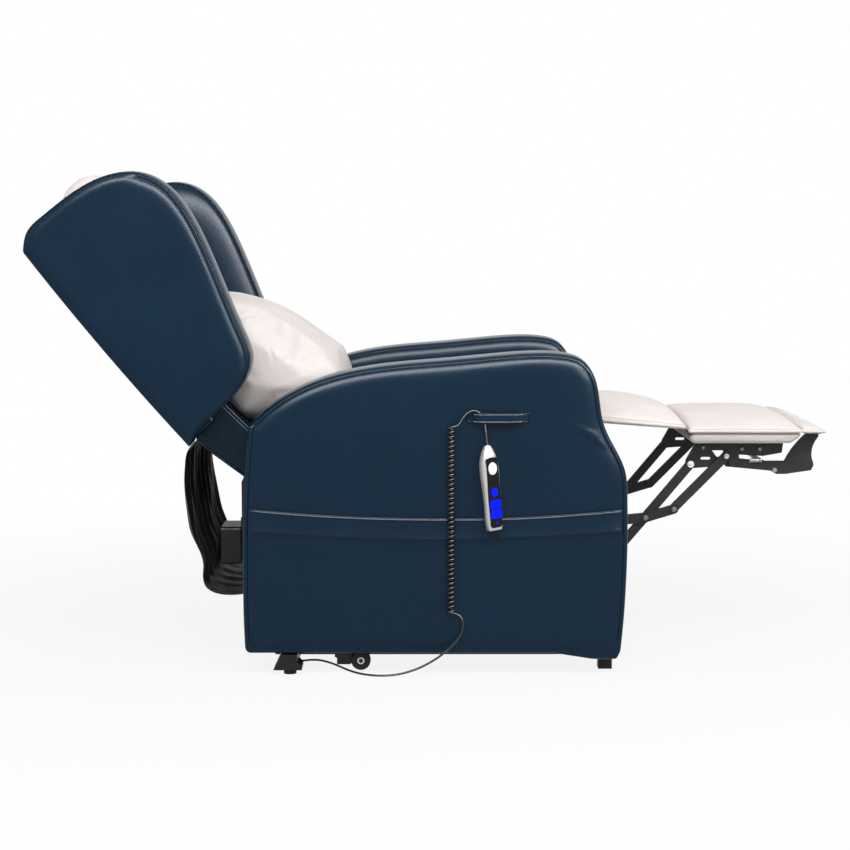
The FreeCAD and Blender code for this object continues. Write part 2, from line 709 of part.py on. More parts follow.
def lift_post(side):
    """Upright plate on the rear cross bar with the lift arm's rear pivot pin."""
    x, z = lift_rear
    inner = lift_plane + lift_thick + layer_gap
    low, high = sorted_span(side, inner, inner + lift_thick)
    shape = plate([(x - 20, floor_top), (x + 20, floor_top), (x + 20, z), (x - 20, z)], low, high)
    pin = rod_y(x, z, pivot_pin, *sorted_span(side, lift_plane - 3, inner))
    return fuse(shape, rod_y(x, z, 20.0, low, high), pin)


def lift_arm(side):
    low, high = sorted_span(side, lift_plane, lift_plane + lift_thick)
    shape = link(lift_rear, lift_front, lift_width, low, high)
    for pivot in (lift_rear, lift_front):
        shape = shape.cut(rod_y(*pivot, pivot_pin + pin_gap, low - 1, high + 1))
    return shape


def lift_push():
    return lift_rear[0] + lift_push_along, lift_rear[1] + lift_push_up


def lift_tube():
    """Round tube between the lift arms with the lug that the lift actuator pulls."""
    x, z = lift_rear[0] + lift_tube_along, lift_rear[1] + lift_tube_up
    lug = link((x, z), lift_push(), 22, -lug_thick / 2, lug_thick / 2)
    return fuse(rod_y(x, z, cross_tube, -lift_plane, lift_plane), lug)


def wheel_bracket(side):
    """Bracket from the rail out to the transport wheel, with its axle."""
    y0 = bar_reach
    low, high = sorted_span(side, y0, wheel_y - wheel_width / 2 - 1)
    shape = plate([(wheel_x - 54, floor_top), (wheel_x - 54, 40), (wheel_x + 8, 40), (wheel_x + 12, wheel_z),
                   (wheel_x - 4, wheel_z - 11), (wheel_x - 30, 15)], low, high)
    pin = rod_y(wheel_x, wheel_z, axle, *sorted_span(side, y0 + 2, wheel_y + wheel_width / 2 + 2))
    return fuse(shape, pin)


def wheel(side):
    low, high = sorted_span(side, wheel_y - wheel_width / 2, wheel_y + wheel_width / 2)
    tyre = rod_y(wheel_x, wheel_z, wheel_radius, low, high)
    tyre = tyre.makeFillet(3, [e for e in tyre.Edges if e.Length > 2 * math.pi * wheel_radius - 1])
    return tyre.cut(rod_y(wheel_x, wheel_z, axle + pin_gap, low - 1, high + 1))


# Actuators

class Actuator:
    """A linear actuator in the plane at y, from its mount to the lug that it moves.

    The outer tube ends at reach and the rod starts at stem, both measured from the mount.
    """

    def __init__(self, mount, push, y, reach, stem):
        self.mount, self.push, self.y, self.reach, self.stem = mount, push, y, reach, stem
        run = V(push[0] - mount[0], 0, push[1] - mount[1])
        self.length = run.Length
        self.run = run.normalize()

    def at(self, along):
        return V(self.mount[0], self.y, self.mount[1]) + self.run * along

    def eye(self, radius, half):
        return rod_y(*self.mount, radius, self.y - half, self.y + half)

    def housing(self):
        """Gear case, motor and outer tube, bored for the rod."""
        case = Part.makeCylinder(housing_radius, 60, self.at(cheek_radius + 10), self.run)
        tube = Part.makeCylinder(rod_radius + 7, self.reach - 60, self.at(60), self.run)
        motor = Part.makeCylinder(housing_radius - 4, 48, self.at(46) - V(0, 0, 4), V(0, 1, 0))
        neck = Part.makeCylinder(lug_thick / 2, 2 * cheek_radius + 6, self.at(0), self.run)
        body = fuse(case, tube, motor, neck, self.eye(cheek_radius, lug_thick / 2))
        body = body.cut(self.eye(pivot_pin + pin_gap, lug_thick))
        return body.cut(Part.makeCylinder(rod_radius + rod_gap, self.reach, self.at(50), self.run))

    def rod(self):
        """Sliding rod with a fork, whose cheeks stand each side of the lug."""
        neck = self.length - fork_depth
        half = lug_thick / 2 + soft_gap
        stem = Part.makeCylinder(rod_radius, neck - 6 - self.stem, self.at(self.stem), self.run)
        yoke = Part.makeCylinder(half + cheek_thick / 2, 12, self.at(neck - 12), self.run)
        return fuse(stem, yoke, *[self.cheek(sign, half, neck - 3) for sign in (-1, 1)])

    def cheek(self, sign, inner, start):
        low, high = sorted((self.y + sign * inner, self.y + sign * (inner + cheek_thick)))
        back = self.at(start)
        bar = link((back.x, back.z), self.push, 2 * cheek_radius, low, high)
        return bar.cut(rod_y(*self.push, pivot_pin, low - 1, high + 1))

    def mount_fork(self, foot):
        """Two ears and a pin that hold the housing's eye, from the height foot."""
        x, z = self.mount
        half = cheek_radius + 2
        ears = []
        for sign in (-1, 1):
            low, high = sorted((self.y + sign * (lug_thick / 2 + layer_gap), self.y + sign * (lug_thick / 2 + 7)))
            leg = plate([(x - half, foot), (x + half, foot), (x + half, z), (x - half, z)], low, high)
            ears += [leg, rod_y(x, z, half, low, high)]
        return fuse(self.eye(pivot_pin, lug_thick / 2 + 9), *ears)


def actuators():
    lift = Actuator((lift_mount_x, lift_mount_z), lift_push(), 0.0, 160, 58)
    back = Actuator((back_mount_x, back_mount_z), from_back(back_lever_n, back_lever_u), back_rod_y, 425, 58)
    leg = Actuator((leg_mount_x, leg_mount_z), leg_push(), leg_rod_y, 248, 140)
    for name, actuator in (("lift", lift), ("back", back), ("leg", leg)):
        keep(f"{name}_actuator_housing", actuator.housing())
        keep(f"{name}_actuator_rod", actuator.rod())
    keep("lift_mount", lift.mount_fork(floor_top))
    keep("frame_brackets", group(leg_bracket(-1), leg_bracket(1), back.mount_fork(deck_bottom),
                                 leg.mount_fork(deck_bottom)))


# Hand control

def hang(shape):
    """Turns a shape built upright at the origin to the hand control's place beside the panel."""
    shape.rotate(V(0, 0, 0), V(0, 0, 1), control_turn)
    shape.rotate(V(0, 0, 0), V(0, 1, 0), -control_lean)
    shape.translate(V(control_x, control_y, control_z))
    return shape


def oval_wire(width, depth, z, corner):
    """A rounded rectangle as a wire, in the plane at height z."""
    w, d, r = width / 2, depth / 2, corner
    k = r * (1 - math.sqrt(0.5))
    spots = [
        ((-w + r, -d), (w - r, -d), (w - k, -d + k), (w, -d + r)),
        ((w, -d + r), (w, d - r), (w - k, d - k), (w - r, d)),
        ((w - r, d), (-w + r, d), (-w + k, d - k), (-w, d - r)),
        ((-w, d - r), (-w, -d + r), (-w + k, -d + k), (-w + r, -d)),
    ]
    edges = []
    for a, b, middle, c in spots:
        edges.append(Part.makeLine(V(*a, z), V(*b, z)))
        edges.append(Part.Arc(V(*b, z), V(*middle, z), V(*c, z)).toShape())
    return Part.Wire(edges)


def control_body():
    w, d, h = control_width, control_depth, control_height
    levels = [(0, w - 4, d - 5, 6), (8, w - 1, d - 2, 8), (0.45 * h, w, d, 9), (0.80 * h, w + 2, d + 2, 10),
              (0.92 * h, w - 9, d - 2, 9), (h, 11, 10, 4)]
    return Part.makeLoft([oval_wire(a, b, z, r) for z, a, b, r in levels], True)


KEYS = {"home_key": (124.0, 21.0, 25.0), "memory_key": (76.5, 16.0, 18.0), "raise_key": (52.0, 26.0, 17.0),
        "lower_key": (32.5, 26.0, 17.0)}


def key_prism(name, grow, low, high):
    """A key's outline as a prism through the face: an ellipse for the two upper keys, else a rounded square."""
    z, width, height = KEYS[name]
    if name in ("home_key", "memory_key"):
        shape = Part.makeCylinder(1.0, high - low, V(0, 0, 0), V(0, 0, 1))
        matrix = FreeCAD.Matrix()
        matrix.scale(width / 2 + grow, height / 2 + grow, 1.0)
        shape = shape.transformGeometry(matrix)
    else:
        face = Part.Face(oval_wire(width + 2 * grow, height + 2 * grow, 0, 4))
        shape = face.extrude(V(0, 0, high - low))
    shape.rotate(V(0, 0, 0), V(1, 0, 0), 90)
    shape.translate(V(0, -low, z))
    return shape


def hand_control():
    """Grey body, black face let into it, four keys in the face and a small lamp."""
    body = control_body()
    face_plane = control_depth / 2
    window = box(-15, 15, -face_plane - 5, -face_plane + 5, 5, 146)
    window = window.makeFillet(7, [e for e in window.Edges if e.BoundBox.YLength > 9])
    face = body.common(window)
    body = body.cut(window)
    body_low = face_plane - 3.2
    for name in KEYS:
        pocket = key_prism(name, key_gap, body_low, face_plane + 4)
        face = face.cut(pocket)
        key = key_prism(name, 0.0, face_plane - 1.6, face_plane + key_stand)
        keep(name, hang(key))
    lamp = Part.makeCylinder(2.2, 2.4, V(0, -face_plane + 1.8, 15), V(0, -1, 0))
    face = face.cut(lamp)
    keep("control_body", hang(body))
    keep("control_face", hang(face))
    keep("control_lamp", hang(lamp))


def cord_boot():
    """Tapered strain relief on top of the hand control, sunk in the plug of its case."""
    neck = FreeCAD.Rotation(V(0, 1, 0), -control_lean).multVec(V(0, 0, control_height - 3))
    neck = neck + V(control_x, control_y, control_z)
    run = V(*beside_panel(UPPER_CORD)[0]) - neck
    return Part.makeCone(4.0, 3.0, run.Length, neck, run)


def control_strap():
    """Leather loop on the panel that the hand control's cord passes behind."""
    y = -half_width - 0.3
    s, t = strap_stand, strap_thick
    a, b = strap_left, strap_right
    outline = [(a, y), (a, y - t), (a + 9, y - t), (a + 25, y - s - t), (b - 25, y - s - t), (b - 9, y - t),
               (b, y - t), (b, y), (b - 11, y), (b - 27, y - s), (a + 27, y - s), (a + 11, y)]
    face = Part.Face(Part.makePolygon([V(x, yy, strap_low) for x, yy in outline + outline[:1]]))
    return face.extrude(V(0, 0, strap_high - strap_low))


# Cord

# Points of the cord as (x, y from the panel's outer face, z)
UPPER_CORD = [(106, -15.6, 496.5), (104.6, -12.2, 511), (101, -8, 525.5), (93, -7.5, 537.5),
              (80.5, -8.5, 541.5), (68, -11, 535.5), (59.5, -13.5, 524), (52.1, -16, 511.3)]
LOWER_CORD = [(52.1, -4, 127.2), (60.5, -5.5, 118), (62.5, -7.5, 104), (57, -9.5, 87), (44.5, -11.5, 69.5),
              (26, -13, 52), (2, -14, 34.5), (-31, -13.5, 17), (-69, -11, 5), (-108, -9, 2.25),
              (-142, 6, 2.25), (-168, 35, 2.25), (-189, 72, 2.25), (-211, 110, 2.25), (-238, 139, 2.25),
              (-267, 134, 2.25), (-287, 110, 2.25), (-302, 86, 3.3)]


def beside_panel(points):
    return [(x, y - half_width, z) for x, y, z in points]


def arc_path(points, name):
    """Straight runs joined by tangent arcs, each as large as its two runs allow."""
    spots = [V(*p) for p in points]
    edges, here, radii = [], spots[0], []
    for k in range(1, len(spots) - 1):
        before, after = spots[k] - spots[k - 1], spots[k + 1] - spots[k]
        half = before.getAngle(after) / 2
        cut = 0.45 * min(before.Length, after.Length)
        radii.append(cut / math.tan(half))
        d0, d1 = V(before).normalize(), V(after).normalize()
        start, end = spots[k] - d0 * cut, spots[k] + d1 * cut
        centre = spots[k] + (d1 - d0).normalize() * (radii[-1] / math.cos(half))
        middle = centre + (spots[k] - centre).normalize() * radii[-1]
        edges += [Part.LineSegment(here, start).toShape(), Part.Arc(start, middle, end).toShape()]
        here = end
    edges.append(Part.LineSegment(here, spots[-1]).toShape())
    print(name, "radii", [round(r, 1) for r in radii])
    return Part.Wire(edges)


def sweep(path, radius):
    """A round tube along a path of lines and arcs."""
    first = path.OrderedEdges[0]
    start, along = first.valueAt(first.FirstParameter), first.tangentAt(first.FirstParameter)
    if first.Orientation == "Reversed":
        start, along = first.valueAt(first.LastParameter), first.tangentAt(first.LastParameter) * -1
    ring = Part.Wire([Part.makeCircle(radius, start, along)])
    return Part.Solid(path.makePipeShell([ring], True, False))


def biarc(p0, t0, p1, t1):
    """Two arcs that meet on one tangent, from p0 along t0 to p1 along t1."""
    v, t = p1 - p0, t0 + t1
    a, b, c = 2 * (1 - t0.dot(t1)), 2 * v.dot(t), -v.dot(v)
    d = (-b + math.sqrt(b * b - 4 * a * c)) / (2 * a)
    q0, q1 = p0 + t0 * d, p1 - t1 * d
    joint = (q0 + q1) * 0.5
    arcs = []
    for start, corner, end in ((p0, q0, joint), (joint, q1, p1)):
        weight = math.cos((corner - start).getAngle(end - corner) / 2)
        middle = (start + corner * (2 * weight) + end) * (1 / (2 + 2 * weight))
        arcs.append(Part.Arc(start, middle, end).toShape())
    return arcs


def helix_frame(centre, axis, start_dir, radius, length, turns, angle):
    """Point and direction on a helix after the given turn in radians."""
    axis = V(axis).normalize()
    across = axis.cross(start_dir)
    radial = start_dir * math.cos(angle) + across * math.sin(angle)
    sideways = across * math.cos(angle) - start_dir * math.sin(angle)
    rise = length / (2 * math.pi * turns)
    spot = centre + radial * radius + axis * (rise * angle)
    return spot, (sideways * radius + axis * rise).normalize()


def helix(centre, axis, start_dir, radius, length, turns, straight):
    """A helix of quarter-turn biarcs whose ends run straight."""
    quarters = round(turns * 4)
    frames = [helix_frame(centre, axis, start_dir, radius, length, turns, k * math.pi / 2)
              for k in range(quarters + 1)]
    first, last = frames[0], frames[-1]
    edges = [Part.LineSegment(first[0] - first[1] * straight, first[0]).toShape()]
    for (p0, t0), (p1, t1) in zip(frames, frames[1:]):
        edges += biarc(p0, t0, p1, t1)
    edges.append(Part.LineSegment(last[0], last[0] + last[1] * straight).toShape())
    return Part.Wire(edges)


def curl_end(turn, sign):
    """Where the curly stretch's straight end stops, and its direction."""
    spot, along = helix_frame(V(curl_axis_x, curl_axis_y, curl_top), V(0, 0, -1), V(0, -1, 0), curl_radius,
                              curl_top - curl_bottom, curl_turns, turn * 2 * math.pi)
    return spot + along * (sign * cord_diameter), along


def least_gap():
    """The curly tube's least gap to itself, from points along two neighbouring curls."""
    spots = [helix_frame(V(0, 0, 0), V(0, 0, -1), V(0, -1, 0), curl_radius, curl_top - curl_bottom, curl_turns,
                         k * math.pi / 36)[0] for k in range(160)]
    near = min((spots[i] - spots[j]).Length for i in range(len(spots)) for j in range(i + 40, len(spots)))
    return near - cord_diameter


def cords():
    top, _ = curl_end(0.0, -1)
    foot, along = curl_end(curl_turns, 1)
    upper = arc_path(beside_panel(UPPER_CORD) + [tuple(top)], "upper cord")
    lower = arc_path([tuple(foot + along * lead_gap)] + beside_panel(LOWER_CORD), "lower cord")
    curls = helix(V(curl_axis_x, curl_axis_y, curl_top), V(0, 0, -1), V(0, -1, 0), curl_radius,
                  curl_top - curl_bottom, curl_turns, cord_diameter)
    section = math.pi * cord_diameter ** 2 / 4
    for name, path in (("cord_upper", upper), ("cord_curls", curls), ("cord_lower", lower)):
        tube = sweep(path, cord_diameter / 2)
        print(name, "length", round(path.Length, 1), "volume", round(tube.Volume, 1), "section x length",
              round(section * path.Length, 1))
        keep(name, tube)
    print("curls' least gap to themselves", round(least_gap(), 2))


def cord_plug():
    """Small modular plug on the end of the lead, square to it, with its latch."""
    before, end = [V(*spot) for spot in beside_panel(LOWER_CORD)[-2:]]
    run = (end - before).normalize()
    body = box(0, 21, -5.9, 5.9, -3.2, 3.2).fuse(box(1, 15, -2.5, 2.5, 3.2, 4.4))
    turn = FreeCAD.Rotation(V(1, 0, 0), V(run.x, run.y, 0))
    tilt = FreeCAD.Rotation(V(run.x, run.y, 0), run)
    placed = body.removeSplitter()
    placed.Placement = FreeCAD.Placement(end, tilt.multiply(turn))
    return placed


def build():
    for name, side in SIDES.items():
        keep(f"side_panel_{name}", side_panel(side))
        keep(f"wing_{name}", wing(side))
        keep(f"transport_wheel_{name}", wheel(side))
    pairs = {
        "seat_rails": seat_rail, "lift_hangers": lift_hanger, "footrest_brackets": footrest_bracket,
        "leg_arms": leg_arm, "cross_links": cross_link, "toggle_links": toggle_link, "foot_arms": foot_arm,
        "foot_springs": spring, "rear_boots": rear_boot, "lift_arms": lift_arm, "wheel_brackets": wheel_bracket,
    }
    for name, one in pairs.items():
        keep(name, group(*[one(side) for side in SIDES.values()]))
    case, bracket = control_box()
    singles = {
        "base_frame": base_frame(), "base_glides": feet(), "lift_tube": lift_tube(), "seat_deck": seat_deck(),
        "seat_border": seat_border(), "seat_cushion": seat_cushion(), "seat_tubes": seat_tubes(),
        "control_box": case, "control_box_bracket": bracket, "rear_curtain": rear_curtain(),
        "back_shell": back_shell(), "footrest_board": footrest_board(), "crease_hinge": crease_hinge(),
        "bracket_bolts": bracket_bolts(), "leg_arm_tube": leg_arm_tube(),
        "foot_arm_rod": rod_y(*foot_rod, foot_rod_radius, -link_plane + 2, link_plane - 2),
        "control_strap": control_strap(),
    }
    for name, shape in singles.items():
        keep(name, shape)
    back_cushions(PARTS["back_shell"])
    legrest_pads(PARTS["footrest_board"], PARTS["crease_hinge"])
    actuators()
    hand_control()
    keep("cord_boot", cord_boot().cut(PARTS["control_body"]))
    cords()
    keep("cord_plug", cord_plug())


def origin():
    """Middle of the whole object without its cord, in plan."""
    solid = group(*[shape for name, shape in PARTS.items() if not name.startswith("cord_")])
    bounds = solid.optimalBoundingBox(False, False)
    return round(bounds.Center.x, 1), round(bounds.Center.y, 1)


build()
middle_x, middle_y = origin()
os.makedirs("parts", exist_ok=True)
for node, shape in PARTS.items():
    shape.translate(V(-middle_x, -middle_y, 0))
    shape.exportStep(f"parts/{node}.step")
print(len(PARTS), "nodes, moved by", -middle_x, -middle_y)
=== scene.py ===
"""The lift recliner chair's looks: leather panels, pillows, curtain, cord, hand control and finishes.

Shapes are given in millimetres from the chair's building origin: X to the front, Y to the sitter's left, Z up.
place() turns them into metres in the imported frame.
"""
import math

import bmesh
import bpy
import numpy as np
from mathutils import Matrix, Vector
from mathutils.bvhtree import BVHTree
from mathutils.geometry import delaunay_2d_cdt


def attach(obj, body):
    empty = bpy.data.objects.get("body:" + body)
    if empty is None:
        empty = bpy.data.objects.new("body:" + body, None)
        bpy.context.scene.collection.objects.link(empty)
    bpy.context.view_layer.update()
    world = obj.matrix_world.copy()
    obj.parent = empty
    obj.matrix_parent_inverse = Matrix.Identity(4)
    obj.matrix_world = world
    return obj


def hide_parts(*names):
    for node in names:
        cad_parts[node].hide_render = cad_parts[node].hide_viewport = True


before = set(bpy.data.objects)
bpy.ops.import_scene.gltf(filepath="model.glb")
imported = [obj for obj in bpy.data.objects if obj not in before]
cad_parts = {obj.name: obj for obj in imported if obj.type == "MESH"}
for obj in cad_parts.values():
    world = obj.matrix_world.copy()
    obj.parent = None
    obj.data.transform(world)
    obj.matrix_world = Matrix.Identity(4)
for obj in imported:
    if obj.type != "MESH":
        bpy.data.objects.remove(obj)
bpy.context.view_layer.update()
scene = bpy.context.scene
MM = 0.001
BUILD_TO_FRAME = np.array([-3.2, 19.5, 0.0])
SIDES = {"right": -1, "left": 1}

# The chair's sizes that its dressing follows
HALF_WIDTH, ARM_WIDTH, WING_WIDTH = 390.0, 125.0, 110.0
WING_INNER = HALF_WIDTH - WING_WIDTH
SEAT_HALF = 258.7
BACK_FOOT, RECLINE = (-487.0, 465.0), math.radians(38.0)
BACK_HEIGHT, SHELL_DEPTH = 532.0, 60.0
CORD_WIDE = 4.5


def place(points):
    """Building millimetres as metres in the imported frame."""
    return (np.atleast_2d(np.asarray(points, float)) + BUILD_TO_FRAME) * MM


# Camera, where the photographer stood

def camera():
    eye = bpy.data.objects.new("camera", bpy.data.cameras.new("camera"))
    eye.data.lens, eye.data.sensor_width = 78.8, 36.0
    eye.data.clip_end = 60.0
    eye.location = place((-25.0, -4090.0, 879.0))[0]
    eye.rotation_euler = (math.radians(84.32), 0.0, math.radians(-0.154))
    scene.collection.objects.link(eye)
    scene.camera = eye


camera()


# Shader maths

class Level:
    """A number that varies over a surface; arithmetic on it adds Math nodes."""

    def __init__(self, nodes, socket):
        self.nodes, self.socket = nodes, socket

    def _math(self, operation, first, second=0.0):
        return self.nodes.node("ShaderNodeMath", {"operation": operation}, {0: first, 1: second})

    def __add__(self, other):
        return self._math("ADD", self, other)

    def __sub__(self, other):
        return self._math("SUBTRACT", self, other)

    def __rsub__(self, other):
        return self._math("SUBTRACT", other, self)

    def __mul__(self, other):
        return self._math("MULTIPLY", self, other)

    __radd__, __rmul__ = __add__, __mul__

    def larger(self, other):
        return self._math("MAXIMUM", self, other)


class Nodes:
    """A shader tree that nodes are added to."""

    def __init__(self, tree):
        self.tree = tree
        self.tree.nodes.clear()

    def node(self, kind, settings, inputs, output=0):
        """A node of a kind, its settings first, then the values or links of its inputs."""
        made = self.tree.nodes.new(kind)
        for name, value in settings.items():
            setattr(made, name, value)
        for key, value in inputs.items():
            if isinstance(value, Level):
                self.tree.links.new(value.socket, made.inputs[key])
            else:
                made.inputs[key].default_value = value
        return Level(self, made.outputs[output] if made.outputs else None)

    def where(self):
        return self.node("ShaderNodeTexCoord", {}, {}, "Object")

    def noise(self, scale, detail=2.0, rough=0.5, distortion=0.0):
        return self.node("ShaderNodeTexNoise", {}, {"Vector": self.where(), "Scale": scale, "Detail": detail,
                                                    "Roughness": rough, "Distortion": distortion})

    def cells(self, scale, feature="F1"):
        return self.node("ShaderNodeTexVoronoi", {"feature": feature}, {"Vector": self.where(), "Scale": scale},
                         "Distance")

    def painted(self, name):
        """A number kept on the mesh's points."""
        return self.node("ShaderNodeAttribute", {"attribute_name": name}, {}, "Fac")

    def ray(self, kind):
        return self.node("ShaderNodeLightPath", {}, {}, kind)

    def between(self, share, low, high):
        return self.node("ShaderNodeMapRange", {"clamp": True}, {"Value": share, "From Min": low, "From Max": high})

    def mix(self, share, first, second):
        return self.node("ShaderNodeMix", {"data_type": "RGBA"}, {0: share, 6: first, 7: second}, 2)


class Finish(Nodes):
    """A procedural material with one surface shader, whose constants are set on the shader's own sockets."""

    def __init__(self, name, colour, roughness, **constants):
        self.material = bpy.data.materials.new(name)
        self.material.use_nodes = True
        super().__init__(self.material.node_tree)
        self.surface = self.node("ShaderNodeBsdfPrincipled", {}, {})
        self.node("ShaderNodeOutputMaterial", {}, {"Surface": self.surface})
        self.shader = self.surface.socket.node
        self.colour = colour
        self.set("Base Color", (*colour, 1.0))
        self.set("Roughness", roughness)
        for socket, value in constants.items():
            self.set(socket.replace("_", " "), value)

    def set(self, socket, value):
        target = self.shader.inputs[socket]
        if isinstance(value, Level):
            self.tree.links.new(value.socket, target)
        else:
            target.default_value = value

    def bump(self, height, depth, strength=1.0):
        self.set("Normal", self.node("ShaderNodeBump", {}, {"Height": height, "Distance": depth,
                                                            "Strength": strength}))

    def shade(self, factor):
        """The finish's colour scaled, as a colour."""
        return (*[min(1.0, c * factor) for c in self.colour], 1.0)


def leather(name, colour, roughness, grain=1.0, rub=1.25, groove_shade=0.55):
    """Grained upholstery leather: pebbled cells, fine creases, painted shade in seam grooves, paler rubbed edges."""
    finish = Finish(name, colour, roughness, Specular_IOR_Level=0.15)
    pebbles = finish.cells(620.0, "SMOOTH_F1")
    pores = finish.noise(1500.0, 3.0, 0.6)
    drift = finish.noise(7.0, 3.0, 0.55)
    creases = finish.between(finish.cells(85.0, "DISTANCE_TO_EDGE"), 0.0, 0.06)
    seam, worn = finish.painted("seam"), finish.painted("worn")
    base = finish.mix(finish.between(drift, 0.3, 0.7), finish.shade(0.93), finish.shade(1.07))
    base = finish.mix(worn * 0.5, base, finish.shade(rub))
    # Painted shade: the seam level darkens the colour in the seam grooves and along the hem lines.
    base = finish.mix(seam * 0.8, base, finish.shade(groove_shade))
    base = finish.mix(finish.between(pebbles, 0.2, 0.75) * 0.16, base, finish.shade(0.6))
    finish.set("Base Color", base)
    finish.set("Roughness", roughness + (drift - 0.5) * 0.12 + seam * 0.15 - worn * 0.05 + pores * 0.04)
    height = (1.0 - pebbles) * 0.7 + pores * 0.3 + creases * 0.12
    finish.bump(height, 0.00035 * grain, 0.35)
    return finish.material


def steel(name, colour, roughness, metallic, fleck=0.15):
    """Coated or bare steel: an orange-peel skin, faint scuffs and a little dust."""
    finish = Finish(name, colour, roughness, Metallic=metallic, Specular_IOR_Level=0.25)
    skin = finish.noise(900.0, 2.0, 0.5)
    dust = finish.between(finish.noise(22.0, 4.0, 0.6), 0.45, 0.8)
    scuffs = finish.between(finish.noise(140.0, 2.0, 0.5, 2.5), 0.62, 0.72)
    finish.set("Base Color", finish.mix(dust * 0.5 + scuffs * fleck, finish.shade(1.0), finish.shade(1.9)))
    finish.set("Roughness", roughness + dust * 0.15 + scuffs * 0.1)
    finish.bump(skin, 0.0002, 0.4)
    return finish.material


def moulded(name, colour, roughness, texture=1.0, **constants):
    """Moulded plastic or rubber with a fine spark-eroded texture."""
    finish = Finish(name, colour, roughness, **constants)
    spark = finish.noise(1800.0, 2.0, 0.6)
    haze = finish.noise(18.0, 3.0, 0.5)
    finish.set("Base Color", finish.mix(finish.between(haze, 0.35, 0.7), finish.shade(0.92), finish.shade(1.08)))
    finish.set("Roughness", roughness + (haze - 0.5) * 0.12)
    finish.bump(spark, 0.00015 * texture, 0.5)
    return finish.material


def lining(name, colour):
    """Thin black cloth with a fine plain weave and a soft sheen."""
    finish = Finish(name, colour, 0.62, Sheen_Weight=0.1, Sheen_Roughness=0.35, Specular_IOR_Level=0.12)
    weave = finish.noise(1600.0, 2.0, 0.5, 1.0)
    slubs = finish.between(finish.noise(60.0, 3.0, 0.6), 0.4, 0.75)
    finish.set("Base Color", finish.mix(slubs, finish.shade(0.8), finish.shade(1.5)))
    finish.set("Roughness", 0.5 + slubs * 0.2)
    finish.bump(weave + slubs * 0.4, 0.0003, 0.6)
    return finish.material


def lit(name, colour, strength):
    """A translucent key lit from behind, brighter in its middle."""
    finish = Finish(name, colour, 0.35, Emission_Strength=strength, Specular_IOR_Level=0.08)
    cloud = finish.noise(90.0, 2.0, 0.5)
    glow = finish.mix(finish.between(cloud, 0.3, 0.7), finish.shade(0.85), finish.shade(1.0))
    finish.set("Base Color", glow)
    finish.set("Emission Color", glow)
    finish.bump(finish.noise(1200.0), 0.0001, 0.3)
    return finish.material


NAVY = leather("navy_leather", (0.0005, 0.0145, 0.0335), 0.25, groove_shade=0.42)
PALE = leather("off_white_leather", (0.72, 0.66, 0.635), 0.52, 0.8, 1.03, 0.62)
# Painted shade: the off-white leather darkened for the board, which lies in shade under the pads.
BOARD_LEATHER_SHADED = leather("board_leather_painted_shade", (0.50, 0.455, 0.437), 0.55, 0.8, 1.03, 0.62)
NAVY_THREAD = moulded("navy_thread", (0.003, 0.010, 0.019), 0.6, Specular_IOR_Level=0.2)
# Pale thread for the strap's edge stitching; its pale rows also stand in as painted highlight lines along the strap's
# edges.
PALE_THREAD_AND_HIGHLIGHT = moulded("pale_thread_and_painted_highlight", (0.60, 0.55, 0.52), 0.7)
LINING = lining("black_lining", (0.0060, 0.0045, 0.0040))
BLACK_STEEL = steel("black_powder_coat", (0.012, 0.012, 0.0125), 0.36, 0.0)
ZINC = steel("zinc_plate", (0.52, 0.52, 0.53), 0.30, 0.95)
DARK_ZINC = steel("dull_rivet", (0.16, 0.15, 0.15), 0.42, 0.8)
RUBBER = moulded("black_rubber", (0.010, 0.010, 0.010), 0.55, Specular_IOR_Level=0.2)
BLACK_PLASTIC = moulded("black_plastic", (0.008, 0.008, 0.009), 0.38, Specular_IOR_Level=0.2)
GLOSS_BLACK = moulded("gloss_black_face", (0.004, 0.004, 0.004), 0.16, 0.2, Specular_IOR_Level=0.15)
SILVER = moulded("silver_plastic", (0.50, 0.49, 0.49), 0.30, 0.6, Metallic=0.55)
PEARL = moulded("pearl_key", (0.82, 0.82, 0.83), 0.25, 0.3)
BLUE_LIT = lit("blue_lit_key", (0.0, 0.006, 0.80), 0.85)
VINYL = moulded("black_vinyl", (0.010, 0.010, 0.011), 0.24, 0.5)
CLEAR = moulded("clear_plug", (0.78, 0.77, 0.76), 0.12, 0.3, Transmission_Weight=0.45, IOR=1.5)
PLYWOOD = moulded("seat_board", (0.45, 0.34, 0.22), 0.7)

